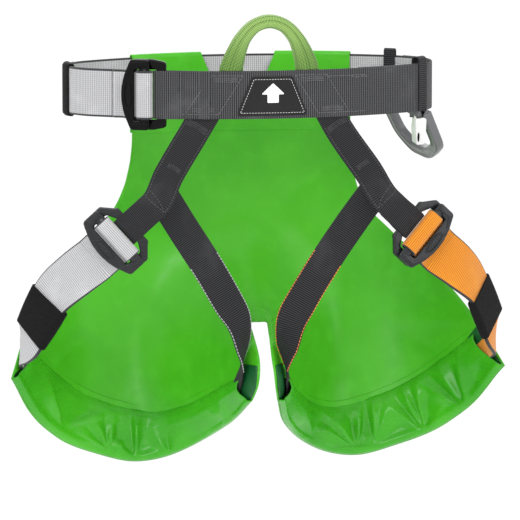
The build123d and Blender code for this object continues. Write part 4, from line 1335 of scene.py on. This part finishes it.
# webbing, its slot, its outward directions above and below the keeper, and how far the tunnel narrows it
LEG_SIDES = {"right": (ORANGE, "orange_webbing", KEEPER_OUT, KEEPER_OUT, 0.52),
             "left": (GREY_LEG, "grey_webbing", np.array((0.74, -0.65, 0.10)), np.array((0.90, -0.42, 0.10)),
                      0.66)}


def leg_path(upper_out, lower_out):
    """Centres and outward directions from the buckle, through the keeper and into the tunnel."""
    rows = [station(LEG_PLACE.at(29.5 * MM, 0, -2.2 * MM), LEG_PLACE.z),
            station(mm(181, -82.5, -164.8), (0.44, -0.89, 0.12)),
            station(KEEPER_AT - KEEPER_ALONG * 24 * MM, upper_out),
            station(KEEPER_AT, unit(upper_out + lower_out)),
            station(KEEPER_AT + KEEPER_ALONG * 24 * MM, lower_out)]
    for x, z in ((225, -257), (218, -266), (213, -272)):
        rows.append(station(seat_point(x, z, 3.2), seat_out(x, z)))
    run = smooth_path(rows, 1.8 * MM)
    return run[:, :3], unit(run[:, 3:])


for side, (material, slot_name, upper_out, lower_out, drawn_in) in LEG_SIDES.items():
    leg_c, leg_o = leg_path(upper_out, lower_out)
    wrap = np.array([LEG_PLACE.at(x, 0, z) for x, z in wrap_line()])
    load = (leg_c - leg_o * 1.0 * MM)[::-1]
    back = leg_c + leg_o * 1.0 * MM
    leg_line = np.vstack([load[:-1], wrap[1:-1], back[1:]])
    leg_outs = np.vstack([leg_o[::-1][:-1], with_side(wrap, -LEG_PLACE.y)[1:-1], -leg_o[1:]])
    tuck = 1 - drawn_in * eased((-226 - leg_line[:, 2] / MM) / 30)
    strap = sweep(f"leg_strap_{side}_look", leg_line, leg_outs, BELT_WIDTH - 1 * MM, PLY, material, across=16,
                  ripple=0.1 * MM, taper=tuck)
    settle(on_side(strap, side), "harness", slot_name, f"leg_strap_{side}")


def leg_keeper(name, upper_out, lower_out):
    """A rubber sleeve that turns with the strap it sits on."""
    frames = []
    for s in np.linspace(-20, 20, 24):
        share = (s + 24) / 48
        side_here = unit(np.cross(upper_out * (1 - share) + lower_out * share, KEEPER_ALONG))
        frames.append((KEEPER_AT + KEEPER_ALONG * s * MM, side_here, unit(np.cross(KEEPER_ALONG, side_here))))
    return sleeve_wall(name, frames, HALF_BELT + 0.7 * MM, 2.6 * MM, 2 * MM, 1.5 * MM, RUBBER, 0.5 * MM)


for side in ("left", "right"):
    leg_sleeve = leg_keeper(f"leg_keeper_{side}_look", *LEG_SIDES[side][2:4])
    settle(on_side(leg_sleeve, side), f"leg_sleeve_{side}", "keeper_rubber", f"leg_keeper_{side}")


# ---------------------------------------------------------------- label
def wrapped_plate(name, outline, level, thickness, material, step=2.0):
    """A flat shape of (x, z) in millimetres, laid on the belt's front."""
    points, tris = filled(outline, step)
    verts = [belt_face(x * MM, z * MM, level)[0] for x, z in points]
    obj = new_object(name, verts, tris, material, points * MM)
    face_outward(obj.data, to_front=True)
    solid = obj.modifiers.new("thick", "SOLIDIFY")
    solid.thickness = thickness
    solid.offset = 1
    rim = obj.modifiers.new("rim", "BEVEL")
    rim.width = thickness * 0.3
    rim.segments = 2
    rim.limit_method = "ANGLE"
    rim.angle_limit = math.radians(60)
    return apply_modifiers(obj)


LABEL_LOW = COVER_LEVEL + 1.0 * MM
LABEL_PLY = 0.9 * MM
label_ring = even_ring(fillet([(-30, -19.5), (36, -19.5), (22, 17), (-16, 17)], 2.6, 0.6, closed=True), 1.4)
label = wrapped_plate("label_base", label_ring, LABEL_LOW, LABEL_PLY, LABEL_CLOTH)
arrow_points = [(3.4, 11), (14.4, 0.4), (8.6, 0.4), (8.6, -7.4), (-1.8, -7.4), (-1.8, 0.4), (-7.6, 0.4)]
arrow_ring = even_ring(fillet(arrow_points, 0.6, 0.3, closed=True), 0.8)
WHITE_PRINT = moulded("white_print", (0.82, 0.82, 0.82), (0.6, 0.6, 0.6), 0.55, grain=1800)
arrow = wrapped_plate("label_arrow", arrow_ring, LABEL_LOW + LABEL_PLY, 0.25 * MM, WHITE_PRINT, 1.2)
border = belt_run([(-26.5, -16.8), (32.5, -16.8), (20, 14.4), (-14, 14.4), (-26.5, -16.8)],
                  LABEL_LOW + 0.95 * MM)
border_thread = thread("label_thread", [border], THREAD_WHITE, 2.6 * MM, 1.7 * MM, 0.22 * MM)
label = join("label_look", [label, arrow, border_thread])
settle(label, "harness", "label", "attach_label")

# ---------------------------------------------------------------- tie-in loop
LOOP_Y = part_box("tie_in_loop_core")[0].y / 2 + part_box("tie_in_loop_core")[1].y / 2
LOOP_SHIFT = 1.0 * MM
# half the loop from its sewn end to its top: x, z and half its width, in millimetres
LOOP_HALF = [(36.6, 6, 11.8), (36.4, 16, 11.8), (35.4, 25, 11.0), (31.2, 39, 9.2), (24.4, 53, 7.3),
             (13.6, 64.0, 6.5), (0, 68.0, 6.4)]
FORWARD = np.array([0, -1.0, 0])
# where the sheath's folded edge runs, as a share of the loop's half width
CREASE_AT = -0.18
loop_rows = LOOP_HALF + [(-x, z, w) for x, z, w in LOOP_HALF[-2::-1]]
loop_run = smooth_path([mm(x, 0, z) for x, z, w in loop_rows], 1.2 * MM)
loop_s = run_lengths(loop_run)
row_at = [loop_s[np.argmin(np.linalg.norm(loop_run - mm(x, 0, z), axis=1))] for x, z, _ in loop_rows]
loop_w = np.interp(loop_s, row_at, [w for _, _, w in loop_rows])
loop_points = loop_run + np.array([LOOP_SHIFT, LOOP_Y, 0])
loop_side = np.cross(FORWARD, unit(np.gradient(loop_points, axis=0)))
# the loop's top, its pale length, is painted paler than its darker legs: painted highlight and painted shade
# of the light from above
LOOP_GREEN = webbing("loop_green", (0.055, 0.14, 0.015), (0.24, 0.42, 0.09), (0.02, 0.08, 0.01), rib=1.3 * MM,
                     column=1.6 * MM, rib_share=0.5, depth=0.3 * MM,
                     pale=(loop_s[-1] / 2, 0.06, (0.14, 0.28, 0.04), (0.44, 0.62, 0.22)))


def behind_cover(point):
    """Follows the belt's curve with the part of the loop that is sewn between its layers."""
    inside_belt = 1 - eased((point[2] / MM - 20) / 12)
    set_back = math.sqrt(SIDE_RADIUS**2 - (33 * MM) ** 2) - math.sqrt(SIDE_RADIUS**2 - point[0] ** 2)
    return point + np.array([0, inside_belt * max(0.0, set_back), 0])


def loop_depth(i):
    """Half the loop's depth: thicker towards the top, thin between the belt's layers."""
    round_share = eased((11.8 - loop_w[i]) / 5.2)
    return (4.2 * MM + 3.2 * MM * round_share) * (0.3 + 0.7 * eased((loop_points[i][2] / MM - 16) / 14))


def creased(share, height):
    """How far a crease along the loop draws its face in."""
    return 1 - 0.28 * math.exp(-((share - CREASE_AT) / 0.09) ** 2) * height


around = 56
verts, uvs = [], []
for i, point in enumerate(loop_points):
    w = loop_w[i] * MM
    for k in range(around):
        a = 2 * math.pi * k / around
        across = w * math.copysign(abs(math.cos(a)) ** 0.8, math.cos(a))
        height = abs(math.sin(a))
        lift = loop_depth(i) * math.copysign(height ** 0.7, math.sin(a)) * creased(across / w, height)
        wave = 0.12 * MM * noise.noise(Vector((loop_s[i] * 160, k * 0.4, 1.0)))
        verts.append(behind_cover(point + loop_side[i] * (across + wave) + FORWARD * (lift + wave)))
        uvs.append((loop_s[i], (k if k <= around / 2 else around - k) * 0.9 * MM))
faces = quads(len(loop_points), around, close_columns=True) + end_caps(len(loop_points), around)
loop = new_object("loop_body", verts, faces, LOOP_GREEN, uvs)
face_outward(loop.data)
loop_seams = []
for share in (CREASE_AT, -0.78, 0.8):
    height = math.sqrt(max(0, 1 - abs(share) ** 2.5)) ** 0.7
    loop_seams.append([(behind_cover(point + loop_side[i] * (loop_w[i] * MM * share)
                                     + FORWARD * (loop_depth(i) * height * creased(share, height))), FORWARD)
                       for i, point in enumerate(loop_points)])
loop_thread = thread("loop_thread", loop_seams, THREAD_GREEN, 2.6 * MM, 2.1 * MM, 0.3 * MM)
loop = join("tie_in_loop_look", [loop, loop_thread])
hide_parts("tie_in_loop_sheath", "tie_in_loop_core", "tie_in_anchor_left", "tie_in_anchor_right")
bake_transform(loop)

# ---------------------------------------------------------------- tool holder
HOLDER_AT = mm(139, 43, -24)
HOLDER_ACROSS = unit((19, -84, 0))
lean = math.radians(30)
# facings of the two posts, and the level of the bar that joins them inside the belt
FRONT_POST, REAR_POST = -44.0, 55.7
BAR_LEVEL = -4.05 * MM
outward = np.array([-HOLDER_ACROSS[1], HOLDER_ACROSS[0], 0])
HOLDER_DOWN = outward * math.sin(lean) - np.array([0, 0, 1.0]) * math.cos(lean)
HOLDER_FACE = np.cross(HOLDER_ACROSS, HOLDER_DOWN)
hook_flat = evenly(fillet([mm(0, -1), mm(-4, 30), mm(10, 46), mm(44, 51), mm(74, 38), mm(86, 0)],
                          [r * MM for r in (16, 18, 40, 14)]), 1.5 * MM)
hook_line = np.array([HOLDER_AT + HOLDER_ACROSS * a + HOLDER_DOWN * b for a, b in hook_flat])
rim_quarter = in_mm([(5.5, 3.0), (5.0, 4.2), (3.9, 4.5), (3.2, 4.5), (2.8, 3.9)])
hook_half = rim_quarter + [(-a, b) for a, b in rim_quarter[::-1]]
hook_profile = hook_half + [(-a, -b) for a, b in hook_half]
hook = sweep("hook", hook_line, HOLDER_FACE, 1, 1, NYLON, profile=hook_profile)
bar_points, _ = ring_path(FRONT_POST, REAR_POST, BAR_LEVEL, step=2 * MM)
bar = sweep("bar", bar_points, with_side(bar_points, (0, 0, 1)), 1, 1, NYLON,
            profile=rounded_profile(16 * MM, 6.9 * MM, 6))


def ring_side(facing):
    """The direction along the ring at a facing."""
    return unit(ring_point(facing + 1, 0) - ring_point(facing - 1, 0))


posts = []
for facing, low in ((REAR_POST, -28), (FRONT_POST, -25.0)):
    line = np.array([ring_point(facing, BAR_LEVEL, z * MM) for z in np.linspace(7.5, low, 24)])
    posts.append(sweep("post", line, with_side(line, ring_side(facing)), 1, 1, NYLON,
                       profile=rounded_profile(10.5 * MM, 6.9 * MM, 5)))
crown_line = np.array([ring_point(FRONT_POST, level * MM, -24.1 * MM) for level in np.linspace(-4, 7.5, 12)])
crown = sweep("crown", crown_line, with_side(crown_line, (0, 0, 1)), 1, 1, NYLON,
              profile=rounded_profile(2.0 * MM, 11 * MM, 4))
GATE_AT = mm(152.2, -40.8, -29.4)
GATE_ALONG = unit((0.035, 0.2, -0.98))
GATE_PLACE = Place(GATE_AT, GATE_ALONG, np.cross(HOLDER_ACROSS, GATE_ALONG))
tongue_line = np.array([GATE_PLACE.at(0, 0, z * MM) for z in np.linspace(-1.8, 1.8, 8)])
tongue = sweep("tongue", tongue_line, GATE_PLACE.x, 1, 1, NYLON,
               profile=ellipse(0, 0, 3.2 * MM, 3.2 * MM, 28))
neck_ring = fillet(box_ring(-5 * MM, -2.7 * MM, -1 * MM, 2.7 * MM), 0.5 * MM, closed=True)
neck = cut_plate("neck", neck_ring, [], -1.8 * MM, 1.8 * MM, 0.3 * MM, NYLON, GATE_PLACE, 2)
holder = join("tool_holder_look", [hook, bar, crown, tongue, neck] + posts)
settle(holder, "harness", "holder_plastic", "tool_holder_body")

GATE_FRONT = Place(GATE_AT, GATE_ALONG, -GATE_PLACE.y)
GATE_HALF = 5.4 * MM
SLOT_X, SLOT_Y = 17.6 * MM, -2.3 * MM
SLOT_REACH, SLOT_RISE = 4.8 * MM, 1.3 * MM
gate_ring = fillet(in_mm([(6, -5.6), (14, -5.2), (25, -4.3), (25, 4.3), (14, 5.2), (6, 5.6)]), 1.8 * MM,
                   closed=True)
shell_ring = fillet(box_ring(-1.2 * MM, -5.6 * MM, 7 * MM, 5.6 * MM), 1.2 * MM, closed=True)
slot_ring = ellipse(SLOT_X, SLOT_Y, SLOT_REACH, SLOT_RISE, 24)
# a black rubber core set back in the slot: painted shade of the slot's recess
slot_shade_core = ellipse(SLOT_X, SLOT_Y, 1.06 * SLOT_REACH, 1.06 * SLOT_RISE, 24)
cheek_ring = fillet(in_mm([(-3.4, -3.3), (3, -3.3), (7.5, -5.2), (7.5, 5.2), (3, 3.3), (-3.4, 3.3)]),
                    [r * MM for r in (2.6, 1.5, 0.3, 0.3, 1.5, 2.6)], closed=True)
gate = [cut_plate("gate_body", gate_ring, [slot_ring], -GATE_HALF, GATE_HALF, 0.7 * MM, WHITE_NYLON,
                  GATE_FRONT, 3),
        cut_plate("gate_shell", shell_ring, [], 3.7 * MM, GATE_HALF, 0.5 * MM, WHITE_NYLON, GATE_FRONT, 2),
        cut_plate("gate_slot_shade", slot_shade_core, [], -4.6 * MM, 4.0 * MM, 0.3 * MM, RUBBER, GATE_FRONT, 1)]
for middle in (-4.5 * MM, 4.5 * MM):
    gate.append(cut_plate("cheek", cheek_ring, [], middle - 1 * MM, middle + 1 * MM, 0.4 * MM, WHITE_NYLON,
                          GATE_PLACE, 2))
settle(join("tool_gate_look", gate), "gate", "gate_plastic", "tool_holder_gate")


def strap_loop(name, facing, face_level, width):
    """A webbing loop that hooks over the belt."""
    line = [(face_level, -22.4), (face_level, 24.0)]
    middle = (face_level - 1.0) / 2
    reach = (face_level + 1.0) / 2
    line += [(middle + reach * math.cos(a), 25.5 + 3.0 * math.sin(a))
             for a in np.linspace(0.15, math.pi - 0.15, 9)]
    line += [(-1.0, 24.0), (-1.0, 10.5)]
    line = evenly(np.array(line), 1.2)
    points = np.array([ring_point(facing, level * MM, z * MM) for level, z in line])
    return sweep(name, points, with_side(points, ring_side(facing)), width, 1.4 * MM, DARK_RIBBED, across=8)


for end, facing, under, width in (("rear", REAR_POST, LINING_LEVEL, 11.6 * MM),
                                  ("front", FRONT_POST, COVER_LEVEL, 13.2 * MM)):
    keeper_loop = strap_loop(f"tool_keeper_{end}_look", facing, under / MM + 1.7, width)
    settle(keeper_loop, "harness", "dark_webbing", f"tool_keeper_{end}")

# ---------------------------------------------------------------- small CAD pieces that stay
for node in ("tool_gate_pin", "tool_gate_spring"):
    node_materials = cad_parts[node].data.materials
    node_materials.clear()
    node_materials.append(STEEL)

# ---------------------------------------------------------------- floor, light and camera
def aimed(obj, place, target):
    """A light or camera at a place, pointed at another."""
    obj.location = place
    obj.rotation_mode = "QUATERNION"
    obj.rotation_quaternion = (target - place).to_track_quat("-Z", "Y")
    return obj


def studio():
    """A white floor below the harness, a white surround and three soft lights."""
    size, level = 30.0, -1.2
    paper = Nodes("floor_paper").set(Base_Color=(1.0, 1.0, 1.0), Roughness=0.9)
    corners = [(x, y, level) for x, y in box_ring(-size, -size, size, size)]
    floor = new_object("floor", corners, [(0, 1, 2, 3)], paper)
    floor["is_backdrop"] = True
    world = bpy.data.worlds.new("studio")
    world.use_nodes = True
    back = world.node_tree.nodes["Background"]
    back.inputs[0].default_value = (1, 1, 1, 1)
    back.inputs[1].default_value = 1.03
    bpy.context.scene.world = world
    centre = Vector((0, 0, -0.16))
    for name, place, size, power in (("key", (-0.9, -1.5, 0.9), 1.1, 16), ("fill", (1.5, -1.2, 0.3), 1.3, 7),
                                     ("rim", (0.3, 1.4, 1.0), 1.0, 8)):
        light = bpy.data.lights.new(name, "AREA")
        light.shape = "SQUARE"
        light.size = size
        light.energy = power
        aimed(linked(name, light), Vector(place), centre)


def camera():
    azimuth, elevation, distance = math.radians(-10), math.radians(7.5), 5.0
    target = Vector((0.0072, 0, -0.1666))
    back = Vector((math.sin(azimuth) * math.cos(elevation), -math.cos(azimuth) * math.cos(elevation),
                   math.sin(elevation)))
    data = bpy.data.cameras.new("camera")
    data.lens = 364.4
    data.sensor_width = 36
    data.clip_start, data.clip_end = 0.1, 100
    bpy.context.scene.camera = aimed(linked("camera", data), target + back * distance, target)


studio()
camera()
bpy.context.scene.view_settings.view_transform = "Standard"
low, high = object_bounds()
